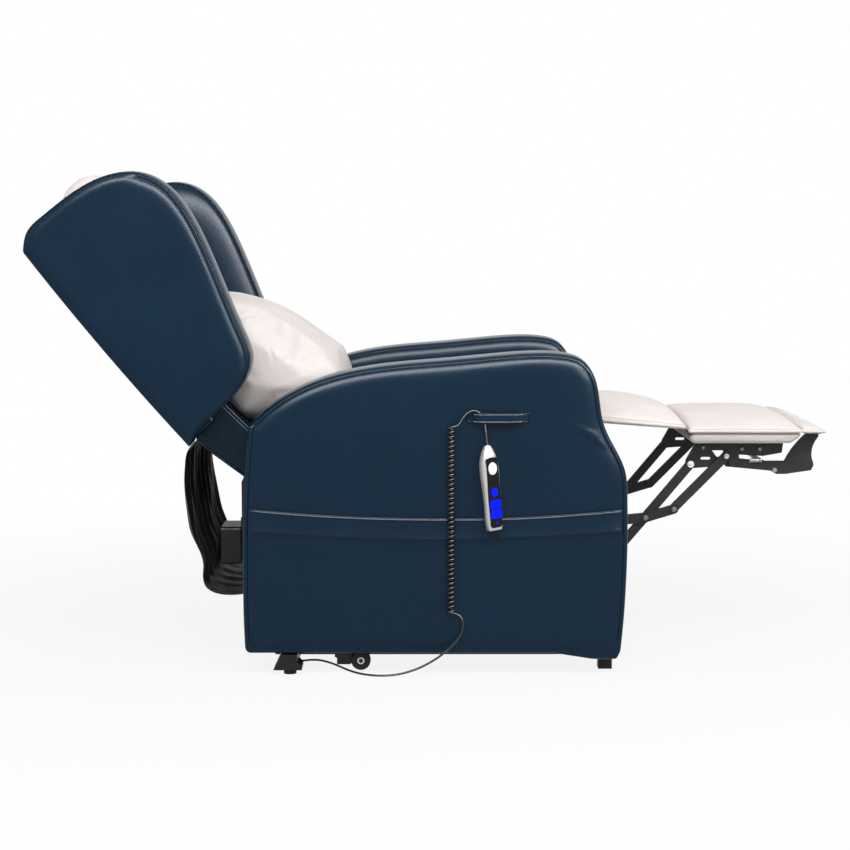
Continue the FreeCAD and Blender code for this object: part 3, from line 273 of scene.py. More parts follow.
NODE_FINISHES = {
    "base_frame": BLACK_STEEL, "base_glides": RUBBER, "rear_boots": BLACK_PLASTIC, "wheel_brackets": BLACK_STEEL,
    "transport_wheel_left": RUBBER, "transport_wheel_right": RUBBER, "lift_mount": BLACK_STEEL,
    "lift_actuator_housing": BLACK_PLASTIC, "lift_actuator_rod": ZINC, "lift_arms": BLACK_STEEL,
    "lift_tube": BLACK_STEEL, "lift_hangers": BLACK_STEEL, "seat_rails": BLACK_STEEL, "seat_tubes": BLACK_STEEL,
    "seat_deck": PLYWOOD, "seat_border": PALE, "frame_brackets": BLACK_STEEL, "control_box": BLACK_PLASTIC,
    "control_box_bracket": BLACK_STEEL, "back_actuator_housing": BLACK_PLASTIC, "back_actuator_rod": ZINC,
    "leg_actuator_housing": BLACK_PLASTIC, "leg_actuator_rod": ZINC, "crease_hinge": BLACK_STEEL,
    "footrest_brackets": BLACK_STEEL, "bracket_bolts": DARK_ZINC, "foot_arms": BLACK_STEEL,
    "foot_arm_rod": DARK_ZINC, "foot_springs": ZINC, "leg_arms": BLACK_STEEL, "leg_arm_tube": BLACK_STEEL,
    "cross_links": BLACK_STEEL, "toggle_links": BLACK_STEEL, "control_body": SILVER, "control_face": GLOSS_BLACK,
    "home_key": PEARL, "memory_key": BLUE_LIT, "raise_key": BLUE_LIT, "lower_key": BLUE_LIT,
    "control_lamp": BLUE_LIT, "cord_boot": BLACK_PLASTIC, "cord_plug": CLEAR,
}


def finish_nodes():
    for name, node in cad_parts.items():
        material = NODE_FINISHES.get(name)
        if material:
            node.data.materials.clear()
            node.data.materials.append(material)


# Mesh making

def piece(name, points, faces, material, body, levels=None, sharp=None):
    """A piece from building-frame points with its painted levels; edges over sharp degrees stay crisp."""
    data = bpy.data.meshes.new(name)
    data.from_pydata(place(points).tolist(), [], [list(map(int, f)) for f in faces])
    for label, values in (levels or {}).items():
        layer = data.attributes.new(label, "FLOAT", "POINT")
        layer.data.foreach_set("value", np.asarray(values, np.float32))
    data.materials.append(material)
    data.shade_smooth()
    made = bpy.data.objects.new(name, data)
    scene.collection.objects.link(made)
    welded(made)
    if sharp:
        data.set_sharp_from_angle(angle=math.radians(sharp))
    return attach(made, body) if body else made


def welded(made, gap=0.00002):
    """Joins points that lie together and turns every face outward."""
    mesh = bmesh.new()
    mesh.from_mesh(made.data)
    bmesh.ops.remove_doubles(mesh, verts=mesh.verts, dist=gap)
    bmesh.ops.recalc_face_normals(mesh, faces=mesh.faces)
    mesh.to_mesh(made.data)
    mesh.free()


# Cord

UPPER_CORD = [(106.0, -405.6, 496.5), (104.6, -402.2, 511.0), (101.0, -398.0, 525.5), (93.0, -397.5, 537.5),
              (80.5, -398.5, 541.5), (68.0, -401.0, 535.5), (59.5, -403.5, 524.0), (52.1, -406.0, 511.3)]
LOWER_CORD = [(52.1, -394.0, 127.2), (60.5, -395.5, 118.0), (62.5, -397.5, 104.0), (57.0, -399.5, 87.0),
              (44.5, -401.5, 69.5), (26.0, -403.0, 52.0), (2.0, -404.0, 34.5), (-31.0, -403.5, 17.0),
              (-69.0, -401.0, 5.0), (-108.0, -399.0, 2.25), (-142.0, -384.0, 2.25), (-168.0, -355.0, 2.25),
              (-189.0, -318.0, 2.25), (-211.0, -280.0, 2.25), (-238.0, -251.0, 2.25), (-267.0, -256.0, 2.25),
              (-287.0, -280.0, 2.25), (-302.0, -304.0, 3.3)]
CURL_X, CURL_Y, CURL_TOP, CURL_FOOT, CURL_RADIUS, CURL_TURNS = 37.0, -400.0, 507.5, 131.0, 6.0, 39.5


def curls():
    """Points of the curly stretch, 12 a turn, with its straight ends."""
    steps = round(CURL_TURNS * 12)
    turn = np.linspace(0.0, CURL_TURNS * 2 * math.pi, steps + 1)
    radius = CURL_RADIUS / math.cos(math.pi / 12) ** 2
    spots = np.stack([CURL_X - radius * np.sin(turn), CURL_Y - radius * np.cos(turn),
                      np.linspace(CURL_TOP, CURL_FOOT, steps + 1)], 1)
    first, last = spots[1] - spots[0], spots[-1] - spots[-2]
    start = spots[0] - first / np.linalg.norm(first) * CORD_WIDE
    end = spots[-1] + last / np.linalg.norm(last) * CORD_WIDE
    return np.vstack([start, spots, end])


def cord_line(name, points, fineness):
    """A round cord on one NURBS spline through its route's control points."""
    data = bpy.data.curves.new(name, "CURVE")
    data.dimensions, data.bevel_depth, data.bevel_resolution = "3D", CORD_WIDE / 2 * MM, 3
    data.use_fill_caps = True
    spline = data.splines.new("NURBS")
    spots = place(points)
    spline.points.add(len(spots) - 1)
    spline.points.foreach_set("co", np.hstack([spots, np.ones((len(spots), 1))]).ravel())
    spline.order_u, spline.use_endpoint_u, spline.resolution_u = 3, True, fineness
    data.materials.append(VINYL)
    made = bpy.data.objects.new(name, data)
    scene.collection.objects.link(made)
    return made


def cords():
    coil = curls()
    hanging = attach(cord_line("curly_cord", np.vstack([UPPER_CORD, coil]), 3), "chair_frame")
    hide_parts("cord_upper", "cord_curls")
    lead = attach(cord_line("floor_lead", np.vstack([coil[-1:], LOWER_CORD]), 8), "floor_frame")
    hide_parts("cord_lower")



# Padded leather panels

def spline(points, spacing=4.0):
    """A smooth line through points: a natural cubic spline over their chords."""
    p = np.asarray(points, float)
    t = np.concatenate([[0.0], np.cumsum(np.linalg.norm(np.diff(p, axis=0), axis=1))])
    h, n = np.diff(t), len(p)
    lhs, rhs = np.eye(n), np.zeros_like(p)
    for i in range(1, n - 1):
        lhs[i, i - 1:i + 2] = h[i - 1], 2 * (h[i - 1] + h[i]), h[i]
        rhs[i] = 6 * ((p[i + 1] - p[i]) / h[i] - (p[i] - p[i - 1]) / h[i - 1])
    m = np.linalg.solve(lhs, rhs)
    fine = np.linspace(0.0, t[-1], max(3, int(t[-1] / spacing) + 1))
    k = np.clip(np.searchsorted(t, fine, side="right") - 1, 0, n - 2)
    a = ((t[k + 1] - fine) / h[k])[:, None]
    b = 1 - a
    return a * p[k] + b * p[k + 1] + ((a ** 3 - a) * m[k] + (b ** 3 - b) * m[k + 1]) * (h[k] ** 2)[:, None] / 6


def closed_outline(parts, corner, spacing=4.0):
    """One evenly spaced, counterclockwise outline from its parts, its corners softly rounded."""
    line = np.vstack([*parts, parts[0][:1]])
    line = line[np.concatenate([[True], np.linalg.norm(np.diff(line, axis=0), axis=1) > 0.01])]
    run = np.concatenate([[0.0], np.cumsum(np.linalg.norm(np.diff(line, axis=0), axis=1))])
    at = np.linspace(0.0, run[-1], int(run[-1] / spacing), endpoint=False)
    even = np.stack([np.interp(at, run, line[:, k]) for k in (0, 1)], 1)
    area = np.sum(even[:, 0] * np.roll(even[:, 1], -1) - even[:, 1] * np.roll(even[:, 0], -1))
    even = even if area > 0 else even[::-1]
    reach = int(3 * corner / spacing) + 1
    weights = np.exp(-0.5 * (np.arange(-reach, reach + 1) * spacing / corner) ** 2)
    return sum(w * np.roll(even, k, axis=0) for k, w in zip(range(-reach, reach + 1), weights / weights.sum()))


def inward(outline):
    """Unit normals that point into a counterclockwise outline."""
    run = np.roll(outline, -1, axis=0) - np.roll(outline, 1, axis=0)
    run /= np.linalg.norm(run, axis=1)[:, None]
    return np.stack([-run[:, 1], run[:, 0]], 1)


def distance(spots, line, closed=True):
    """Each spot's distance to a line."""
    a, b = (line, np.roll(line, -1, axis=0)) if closed else (line[:-1], line[1:])
    run = b - a
    nearest = []
    for part in np.array_split(spots, len(spots) // 2000 + 1):
        away = part[:, None, :] - a[None]
        share = np.clip((away * run).sum(2) / (run ** 2).sum(1), 0.0, 1.0)
        nearest.append(np.sqrt(((away - share[..., None] * run) ** 2).sum(2).min(1)))
    return np.concatenate(nearest)


def inside(spots, outline):
    """Whether each spot lies inside a closed outline."""
    (ax, ay), (bx, by) = outline.T, np.roll(outline, -1, axis=0).T
    px, py = spots[:, :1], spots[:, 1:]
    rise = np.where(by == ay, 1e-9, by - ay)
    return (((ay > py) != (by > py)) & (px < (bx - ax) * (py - ay) / rise + ax)).sum(1) % 2 == 1


def bell(value, middle, width):
    return np.exp(-((value - middle) / width) ** 2)


class Roll:
    """How far a padded face lies behind its crest at each inset from the outline, and its seam's groove."""

    def __init__(self, seam, groove, *steps):
        self.seam, self.groove, (self.insets, self.depths) = seam, groove, np.array(steps).T
        near = [seam + step for step in (-1.6, -0.9, -0.4, 0.0, 0.4, 0.9, 1.6) if seam + step > 0.2]
        self.rows = np.unique(np.round(np.concatenate([self.insets[1:], near]), 2))

    def depth(self, inset):
        return np.interp(inset, self.insets, self.depths)


ARM_ROLL = Roll(9.5, 1.3, (0, 13), (0.8, 9.4), (2.4, 7.0), (4.5, 5.9), (7, 5.5), (9.5, 5.6), (11, 5.0), (13, 4.2),
                (16, 3.15), (20, 2.1), (25, 1.15), (31, 0.5), (38, 0.15), (46, 0))
ARM_TOP_ROLL = Roll(9.5, 0.0, (0, 6.9), (4, 4.6), (8, 2.6), (9.5, 2.0), (11, 1.65), (13, 1.35), (16, 0.96),
                    (20, 0.48), (24, 0.16), (28, 0.0))
WING_ROLL = Roll(3.5, 1.3, (0, 8.3), (0.6, 7.2), (1.6, 6.5), (3.5, 6.1), (5, 5.4), (7, 4.5), (9, 3.55), (10.3, 2.95),
                 (11.3, 2.5), (12.3, 2.1), (13.5, 1.7), (15, 1.25), (17, 0.8), (20, 0.35), (24, 0.1), (30, 0))
WING_INNER_ROLL = Roll(3.6, 1.8, (0, 25.5), (0.5, 23.4), (2.2, 23.1), (3.6, 22.9), (4.6, 22.2), (6.5, 20.6),
                       (9, 18.2), (12, 16.4), (18, 13.6), (26, 10.7), (36, 7.7), (48, 4.9), (62, 2.5), (80, 0.8),
                       (100, 0))
SLIM_ROLL = Roll(6.2, 2.0, (0, 11), (0.4, 7.5), (1.6, 4.8), (3.6, 3.2), (6.2, 2.8), (8, 2.0), (11, 1.1), (16, 0.4),
                 (24, 0))


# The sewn hem's lip: how far it stands out at heights above its line, which are the rows of its mesh too
HEM_HEIGHTS = (-6.6, -5.2, -4.2, -3.4, -1.9, -0.4, 0.5, 1.5, 2.7, 4.5)
HEM_LIP = (0, 0.3, 1.2, 1.0, 0.1, -0.8, -2.2, -1.7, -0.5, 0)


class Face:
    """One padded face of a panel, in the panel's plane.

    relief(spots, inset) tells how much it is raised, sewn(spots), from 0 to 1, where its seam shows, and
    lines(spots) how much painted shade darkens its other seam lines. Its mesh follows the lines in creases closely.
    """

    def __init__(self, outline, roll, grid, relief=None, sewn=None, creases=(), lines=None):
        self.outline, self.roll, self.grid, self.creases = outline, roll, grid, creases
        self.inner = inward(outline)
        self.relief = relief or (lambda spots, inset: np.zeros(len(spots)))
        self.sewn = sewn or (lambda spots: np.ones(len(spots)))
        self.lines = lines or (lambda spots: np.zeros(len(spots)))

    def depth(self, spots, inset):
        groove = self.roll.groove * self.sewn(spots) * bell(inset, self.roll.seam, 0.95)
        return self.roll.depth(inset) + groove - self.relief(spots, inset)

    def row(self, inset):
        """The points at one inset, and whether each is clear of the outline's other sides."""
        spots = self.outline + self.inner * inset
        return spots, distance(spots, self.outline) > inset * 0.985 - 0.05

    def mesh(self):
        """Spots, triangles, depths, the seam level of painted groove shade, and the worn level."""
        spots, count = [self.outline], len(self.outline)
        for inset in self.roll.rows:
            row, clear = self.row(inset)
            spots.append(row[clear])
        (x0, y0), (x1, y1) = self.outline.min(0), self.outline.max(0)
        xs, ys = np.meshgrid(np.arange(x0, x1, self.grid), np.arange(y0, y1, self.grid * 0.866))
        xs = xs + (np.arange(len(xs)) % 2)[:, None] * self.grid / 2
        field = np.stack([xs.ravel(), ys.ravel()], 1)
        field = field[inside(field, self.outline)]
        field = field[distance(field, self.outline) > self.roll.insets[-1] + self.grid * 0.4]
        for line in self.creases:
            along = np.gradient(line, axis=0)
            across = np.stack([-along[:, 1], along[:, 0]], 1) / np.linalg.norm(along, axis=1)[:, None]
            field = field[distance(field, line, False) > 8.5]
            rows = np.vstack([line + across * height for height in HEM_HEIGHTS])
            rows = rows[inside(rows, self.outline)]
            spots.append(rows[distance(rows, self.outline) > 16.0])
        ring = [[k, (k + 1) % count] for k in range(count)]
        found = delaunay_2d_cdt([Vector(p) for p in np.vstack([*spots, field]).tolist()], ring,
                                [list(range(count))], 1, 0.02)
        spots = np.array([tuple(p) for p in found[0]])
        inset, sewn = distance(spots, self.outline), self.sewn(spots)
        past = inset - self.roll.seam
        # The seam level is painted shade in the seam's groove and along the other seam lines.
        seam = np.maximum(sewn * bell(past, 0, 1.2), self.lines(spots))
        return spots, found[2], self.depth(spots, inset), seam, sewn * bell(past, 5, 4) * 0.5

    def seam_rows(self, away, lay, thick=None, keep=None):
        """Rows of points with outward directions beside the seam, on the outer face or, given thick, the inner."""
        inset = self.roll.seam + away
        row, fits = self.row(inset)
        if keep:
            fits &= keep(row)
        here, step = self.depth(row, inset), self.inner * 0.8
        fall = (self.depth(row - step, inset - 0.8) - self.depth(row + step, inset + 0.8)) / 1.6
        tilt = self.inner * fall[:, None]
        sign, at = (-1.0, here) if thick is None else (1.0, thick - here)
        base = lay(*row.T, at)
        outward = lay(*(row - tilt).T, at + sign) - base
        outward /= np.linalg.norm(outward, axis=1)[:, None]
        turn = np.roll(np.arange(len(row)), -np.argmin(fits))
        groups = [g for g in np.split(turn, np.flatnonzero(np.diff(fits[turn].astype(int))) + 1)
                  if fits[g[0]] and len(g) > 6]
        return [(base[np.append(g, g[0])], outward[np.append(g, g[0])]) if len(g) == len(row) else
                (base[g], outward[g]) for g in groups]


def padded_panel(name, outer, inner, thick, lay, body, crown=0.8, finish=None):
    """A padded panel: its outer face, its inner face and the strip round them.

    lay(a, b, depth) is the building point of a spot in the panel's plane, that far behind its outer face.
    """
    points, faces, seams, worn = [], [], [], []

    def add(spots, tris, seam, rub):
        start = sum(map(len, points))
        points.append(spots)
        faces.extend([[i + start for i in tri] for tri in tris])
        seams.append(seam)
        worn.append(rub)

    for face, behind in ((outer, False), (inner, True)):
        spots, tris, depth, seam, rub = face.mesh()
        add(lay(*spots.T, thick - depth if behind else depth), tris, seam, rub)
    outline, count, edge = outer.outline, len(outer.outline), np.zeros(len(outer.outline))
    low, high = outer.depth(outline, edge), thick - inner.depth(outline, edge)
    rows = max(4, int((high - low).max() / 14))
    bulge = outer.inner * np.broadcast_to(crown, count)[:, None]
    strip = [lay(*(outline - bulge * math.sin(math.pi * share) ** 0.7).T, low + (high - low) * share)
             for share in np.linspace(0.0, 1.0, rows + 1)]
    quads = [[k * count + i, k * count + (i + 1) % count, (k + 1) * count + (i + 1) % count, (k + 1) * count + i]
             for k in range(rows) for i in range(count)]
    still = np.zeros(count * (rows + 1))
    add(np.vstack(strip), quads, still, still)
    made = piece(name, np.vstack(points), faces, finish or NAVY, body,
                 {"seam": np.concatenate(seams), "worn": np.concatenate(worn)})
    return made


def stitches(name, rows, thread, body, long=4.2, gap=1.8, radius=0.42):
    """Sewn stitches, little spindles along rows of (points, outward directions)."""
    points, faces, base = [], [], 0
    ring = np.linspace(0.0, 2 * math.pi, 6, endpoint=False)
    for line, outward in rows:
        run = np.concatenate([[0.0], np.cumsum(np.linalg.norm(np.diff(line, axis=0), axis=1))])
        starts = np.arange(1.0, run[-1] - long, long + gap)
        count = len(starts)
        if not count:
            continue
        first, last, up = (np.stack([np.interp(at, run, values[:, k]) for k in range(3)], 1)
                           for at, values in ((starts, line), (starts + long, line), (starts, outward)))
        along = last - first
        side = np.cross(along / np.linalg.norm(along, axis=1)[:, None], up)
        for share, wide, lift in ((0.0, 0.25, -0.35), (0.22, 1.0, 0.1), (0.78, 1.0, 0.1), (1.0, 0.25, -0.35)):
            for angle in ring:
                offset = side * math.cos(angle) + up * math.sin(angle)
                points.append(first + along * share + (offset * wide + up * lift) * radius)
        faces += [[base + (q * count) + n for q in (a, b, b + 6, a + 6)] for n in range(count) for level in range(3)
                  for a, b in [(level * 6 + k, level * 6 + (k + 1) % 6) for k in range(6)]]
        base += 24 * count
    made = piece(name, np.vstack(points), faces, thread, body)
    return made


# Arms, wings and the backrest's board

ARM_TOP_LINE = [(-369, 507), (-354, 522), (-327, 546), (-257, 588), (-151, 620), (33, 640), (150, 651), (234, 654),
                (272, 650), (298, 641), (320, 616), (343, 514), (366, 464), (387, 419), (393, 359)]
ARM_FRONT_LINE = [(393, 359), (394, 270), (392, 190), (388, 115), (382, 48)]
ARM_FOOT_LINE = [(382, 48), (374, 32), (325, 32), (243, 45), (-373, 45), (-380, 52)]
ARM_REAR_LINE = [(-380, 52), (-382.5, 120), (-383, 190), (-380.5, 350), (-369, 507)]
UPPER_HEM = [(-366, 340), (-266, 332), (-144, 325), (29, 322), (171, 324), (286, 331), (384, 339)]
LOWER_HEM = [(-366, 297), (-226, 288), (-92, 282), (29, 281), (145, 284), (256, 289), (371, 296)]
WING_LINE = [(0, 0), (24, 13), (82, 21), (131.4, 27), (178, 41), (207.3, 64), (227, 115), (252, 206), (280, 310),
             (292, 385), (288, 441), (267, 485), (226, 517), (169.4, 535), (120, 540), (60, 540), (14, 534),
             (-17, 508)]
WING_REAR_LINE = [(-17, 508), (-17.2, 440), (-16.5, 362), (-13, 230), (-6.7, 100), (0, 0)]
SHELL_LINE = [(0, 8), (-2, -11), (30, -124), (150, -124), (150, -104), (104, -46), (95, 21), (95, 34), (60, 62)]


def from_back(n, u):
    """X and Z of a spot n in front of the backrest's rear face and u above its foot."""
    n, u = np.asarray(n, float), np.asarray(u, float)
    return (BACK_FOOT[0] + n * math.cos(RECLINE) - u * math.sin(RECLINE),
            BACK_FOOT[1] + n * math.sin(RECLINE) + u * math.cos(RECLINE))


def above(spots, line):
    """How far each spot lies above a line that runs from rear to front."""
    return spots[:, 1] - np.interp(spots[:, 0], line[:, 0], line[:, 1])


def fold(spots, start, end, width):
    """A soft ridge from one spot to another, fading at both ends."""
    start, run = np.array(start, float), np.subtract(end, start)
    share = (spots - start) @ run / (run @ run)
    away = np.abs(np.cross(run, spots - start)) / np.linalg.norm(run)
    return bell(away, 0.0, width) * np.clip(np.sin(math.pi * np.clip(share, 0.0, 1.0)), 0.0, 1.0) ** 0.7


def arm_panels():
    upper, lower = spline(UPPER_HEM, 3.0), spline(LOWER_HEM, 3.0)
    top = spline(ARM_TOP_LINE)
    outline = closed_outline([top, spline(ARM_FRONT_LINE), np.array(ARM_FOOT_LINE, float), spline(ARM_REAR_LINE)],
                             3.0, 3.0)
    padded_top = top[(top[:, 0] < 312) & (top[:, 1] > 515)]

    def sewn(spots):
        return np.clip((spots[:, 1] - 58) / 16, 0, 1)

    # Painted shade in the hem's grooves: above the lip, at the lip's lower foot and below the lower crest.
    def lines(spots):
        high, low = above(spots, upper), above(spots, lower)
        return np.clip(bell(high, 0.8, 1.1) + 0.8 * bell(high, -5.6, 0.8) + 0.45 * bell(low, -3.0, 2.6), 0, 1)

    def rolled(spots, inset=None):
        return -ARM_TOP_ROLL.depth(distance(spots, padded_top, False))

    def relief(spots, inset):
        """The top's deeper roll, the sewn band with its lip and lower crest, and soft folds near the corners."""
        high, low = above(spots, upper), above(spots, lower)
        edge = np.clip((inset - 10.5) / 3.0, 0, 1)
        lip = np.interp(high, HEM_HEIGHTS, HEM_LIP)
        crest = np.where(low > 0, 5.0 * np.exp(-low / 20.0), 5.0 * np.exp(low / 5.0))
        soft = 1.6 * fold(spots, (292, 505), (352, 466), 6.0) - 1.2 * fold(spots, (290, 494), (350, 452), 5.0)
        soft += 1.4 * fold(spots, (268, 516), (340, 486), 5.0) + 1.3 * fold(spots, (262, 62), (366, 172), 8.0)
        soft -= 1.2 * fold(spots, (280, 58), (370, 150), 7.0) + 0.9 * fold(spots, (-370, 96), (-250, 54), 9.0)
        soft += 0.9 * np.sin(spots[:, 0] / 71.0 + 1.0) * np.sin(spots[:, 1] / 93.0) * np.clip(inset / 60, 0, 1)
        return (lip + crest) * edge + soft * np.clip((inset - 12) / 8, 0, 1) + rolled(spots)

    outer = Face(outline, ARM_ROLL, 7.0, relief, sewn, (upper, lower), lines)
    inner = Face(outline, ARM_ROLL, 9.0, rolled, sewn)
    for side, sign in SIDES.items():
        def lay(x, z, depth):
            return np.stack([x, sign * (HALF_WIDTH - depth), z], 1)
        panel = padded_panel(f"arm_{side}", outer, inner, ARM_WIDTH, lay, "chair_frame", crown=1.2)
        rows = outer.seam_rows(3.2, lay, keep=lambda row: row[:, 1] > 80)
        stitches(f"arm_{side}_stitches", rows, NAVY_THREAD, "chair_frame")
        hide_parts(f"side_panel_{side}")


def wing_panels():
    outline = closed_outline([spline(WING_LINE), spline(WING_REAR_LINE)], 3.0, 3.0)
    towards_front = np.clip(-inward(outline)[:, 0], 0, 1)
    outline = outline + inward(outline) * (0.2 + 1.3 * towards_front[:, None])
    crown, front = 0.6 + 2.6 * towards_front, outline[towards_front > 0.8]

    def at_front(spots, inset):
        return np.clip(1.0 - (distance(spots, front, False) - inset) / 30.0, 0, 1) ** 1.5

    # Painted shade in the second seam groove along the front edge.
    def lines(spots):
        inset = distance(spots, outline)
        return 0.9 * at_front(spots, inset) * bell(inset, 11.3, 1.2)

    def relief(spots, inset):
        n, u = spots.T
        soft = 1.2 * np.sin(n / 88.0 + 0.6) * np.sin(u / 117.0 + 1.1) * np.clip(inset / 60, 0, 1)
        soft += 0.9 * fold(spots, (236, 210), (268, 330), 8.0) - 1.0 * fold(spots, (96, 36), (196, 128), 9.0)
        facing = at_front(spots, inset)
        band = WING_ROLL.depth(np.maximum(inset - 6.5 * facing, np.minimum(inset, 4.0))) - WING_ROLL.depth(inset)
        return soft - band - 1.1 * facing * bell(inset, 11.3, 1.1)

    def sewn(spots):
        return np.clip((spots[:, 0] - 6.0) / 8, 0, 1)

    def rimmed(spots):
        return spots[:, 0] > 12.0

    outer, inner = Face(outline, WING_ROLL, 7.0, relief, sewn, lines=lines), Face(outline, WING_INNER_ROLL, 9.0)
    for side, sign in SIDES.items():
        def lay(n, u, depth):
            x, z = from_back(n, u)
            return np.stack([x, sign * (HALF_WIDTH - depth), z], 1)
        panel = padded_panel(f"wing_{side}_cover", outer, inner, WING_WIDTH, lay, "backrest",
                             crown)
        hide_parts(f"wing_{side}")
        rows = [row for away in (2.4, 5.4) for row in outer.seam_rows(away, lay, keep=rimmed)]
        rows += inner.seam_rows(3.0, lay, WING_WIDTH, keep=rimmed)
        stitches(f"wing_{side}_stitches", rows, NAVY_THREAD, "backrest")


def extruded(name, outline, low, high, material, body):
    """A flat plate of an outline in X and Z, from low to high across the chair."""
    line = np.array(outline, float)
    count = len(line)
    points = np.vstack([np.stack([line[:, 0], np.full(count, y), line[:, 1]], 1) for y in (low, high)])
    faces = [[i, (i + 1) % count, count + (i + 1) % count, count + i] for i in range(count)]
    faces += [list(range(count)), list(range(count, 2 * count))]
    return piece(name, points, faces, material, body, sharp=30.0)


def turned(name, profile, centre, sign, material, body, around=28):
    """A piece turned about a line across the chair: (radius, distance to the side) pairs from a centre."""
    angles = np.linspace(0.0, 2 * math.pi, around, endpoint=False)
    points = np.vstack([np.stack([centre[0] + radius * np.cos(angles), np.full(around, sign * (centre[1] + along)),
                                  centre[2] + radius * np.sin(angles)], 1) for radius, along in profile])
    faces = [[k * around + i, k * around + (i + 1) % around, (k + 1) * around + (i + 1) % around,
              (k + 1) * around + i] for k in range(len(profile) - 1) for i in range(around)]
    return piece(name, points, faces, material, body, sharp=35.0)


def back_board():
    """The padded board behind the pillows, its tongue, the lever under it and the two pivot pins."""
    half = WING_INNER - 0.5
    corners = np.array([(-half, 8), (half, 8), (half, BACK_HEIGHT - 6), (-half, BACK_HEIGHT - 6)], float)
    seams = [np.stack([np.full(120, y), np.linspace(20, BACK_HEIGHT - 18, 120)], 1) for y in (-139.0, 139.0)]

    def lay_board(y, u, depth):
        x, z = from_back(depth, u)
        return np.stack([x, y, z], 1)

    def lay_tongue(n, u, depth):
        x, z = from_back(n, u)
        return np.stack([x, depth - SEAT_HALF + 0.5, z], 1)

    def quilting(spots, inset):
        y = spots[:, 0]
        return 1.5 * np.cos(y / 119.0) * np.clip(inset / 70, 0, 1) - 1.6 * bell(np.abs(y), 139.0, 1.6)

    outline = closed_outline([corners], 4.0)
    cover = padded_panel("back_board", Face(outline, SLIM_ROLL, 10.0, quilting, creases=seams),
                         Face(outline, SLIM_ROLL, 12.0), SHELL_DEPTH, lay_board, "backrest")
    tongue = Face(closed_outline([np.array(SHELL_LINE, float)], 3.0), SLIM_ROLL, 9.0)
    padded_panel("back_tongue", tongue, tongue, 2 * SEAT_HALF - 1.0, lay_tongue, "backrest",
                 crown=0.0)
    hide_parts("back_shell")
    lever = closed_outline([np.array([(40, -118), (48, -181), (54, -191), (66, -191), (72, -181), (94, -118)],
                                     float)], 2.0, 2.5)
    steel_parts = [extruded("back_lever", np.stack(from_back(*lever.T), 1), 76.0, 84.0, BLACK_STEEL, "backrest")]
    x, z = from_back(115.0, -95.0)
    steel_parts += [turned(f"back_pin_{side}", [(0, 257.7), (6, 257.7), (6, 264.7), (0, 264.7)], (x, 0, z), sign,
                           ZINC, "backrest") for side, sign in SIDES.items()]


# Legrest pads and board

PAD_ROLL = Roll(1.6, 1.3, (0, 5.5), (0.3, 4.4), (1.4, 3.9), (2.2, 3.2), (4, 1.9), (7, 0.8), (11, 0.2), (16, 0))
PAD_UNDER = Roll(1.6, 1.2, (0, 3.5), (0.3, 2.4), (1.4, 2.0), (2.4, 1.0), (5, 0.2), (9, 0))
BOARD_ROLL = Roll(2.6, 0.9, (0, 5), (0.5, 3), (1.6, 1.8), (2.6, 1.5), (3.6, 0.9), (6, 0.2), (8, 0))
PAD_EDGE = 13.0
LEGREST_PADS = {
    "calf_pad": ("calf_flap", 250.0, [(342, 14), (382, 27), (467, 27), (513, 16), (527.2, 8)],
                 [(342, 500.9, 19), (440, 493.6, 16), (527.2, 487.2, 13)]),
    "footrest_pad": ("footboard", 250.0, [(532.8, 13), (549, 18), (603, 22), (698, 22), (752, 13), (767.8, 5)],
                     [(532.8, 478.5, 13), (767.8, 478.5, 13)]),
    "foot_pad": ("foot_frame", 247.0, [(768.2, 5), (782, 10), (802, 5), (820, 0)],
                 [(768.2, 478.5, 13), (800, 478.5, 11), (820, 478.5, 8)]),
}


def legrest_pads():
    for name, (body, half, crown, base) in LEGREST_PADS.items():
        rise, (xs, lows, tops) = spline(crown, 2.0), np.array(base, float).T
        x0, x1 = crown[0][0], crown[-1][0]
        outline = closed_outline([np.array([(x0, -half), (x1, -half), (x1, half), (x0, half)], float)], 3.0)

        def lay(x, y, depth):
            top = np.interp(x, xs, tops)
            up = np.where(depth < 0, top - depth, top * (1 - depth / PAD_EDGE))
            return np.stack([x, y, np.interp(x, xs, lows) + up], 1)

        def crowned(spots, inset):
            x, y = spots.T
            across = 1 - np.abs(y / half) ** 2.6
            ends = np.minimum(x - x0, x1 - x)
            pucker = 0.9 * np.sin(y / 3.9 + 2.0 * np.sin(y / 31.0)) * bell(ends, 9.0, 8.0)
            return np.clip(inset / 9, 0, 1) * (np.interp(x, *rise.T) * across + pucker)

        pad = padded_panel(f"{name}_cushion", Face(outline, PAD_ROLL, 6.0, crowned), Face(outline, PAD_UNDER, 12.0),
                           PAD_EDGE, lay, body, crown=0.6, finish=PALE)
        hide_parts(name)


def footrest_board():
    outline = closed_outline([np.array([(546, 478), (768, 478), (763, 469), (746, 458), (546, 458), (539, 461),
                                        (536, 468), (539, 475)], float)], 2.0, 2.5)

    def lay(x, z, depth):
        return np.stack([x, depth - 247.0, z], 1)

    face = Face(outline, BOARD_ROLL, 5.0)
    # The board's leather is the off-white one with painted shade.
    board = padded_panel("footrest_board_cover", face, face, 494.0, lay, "footboard", crown=0.0,
                         finish=BOARD_LEATHER_SHADED)
    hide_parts("footrest_board")


# Pillows

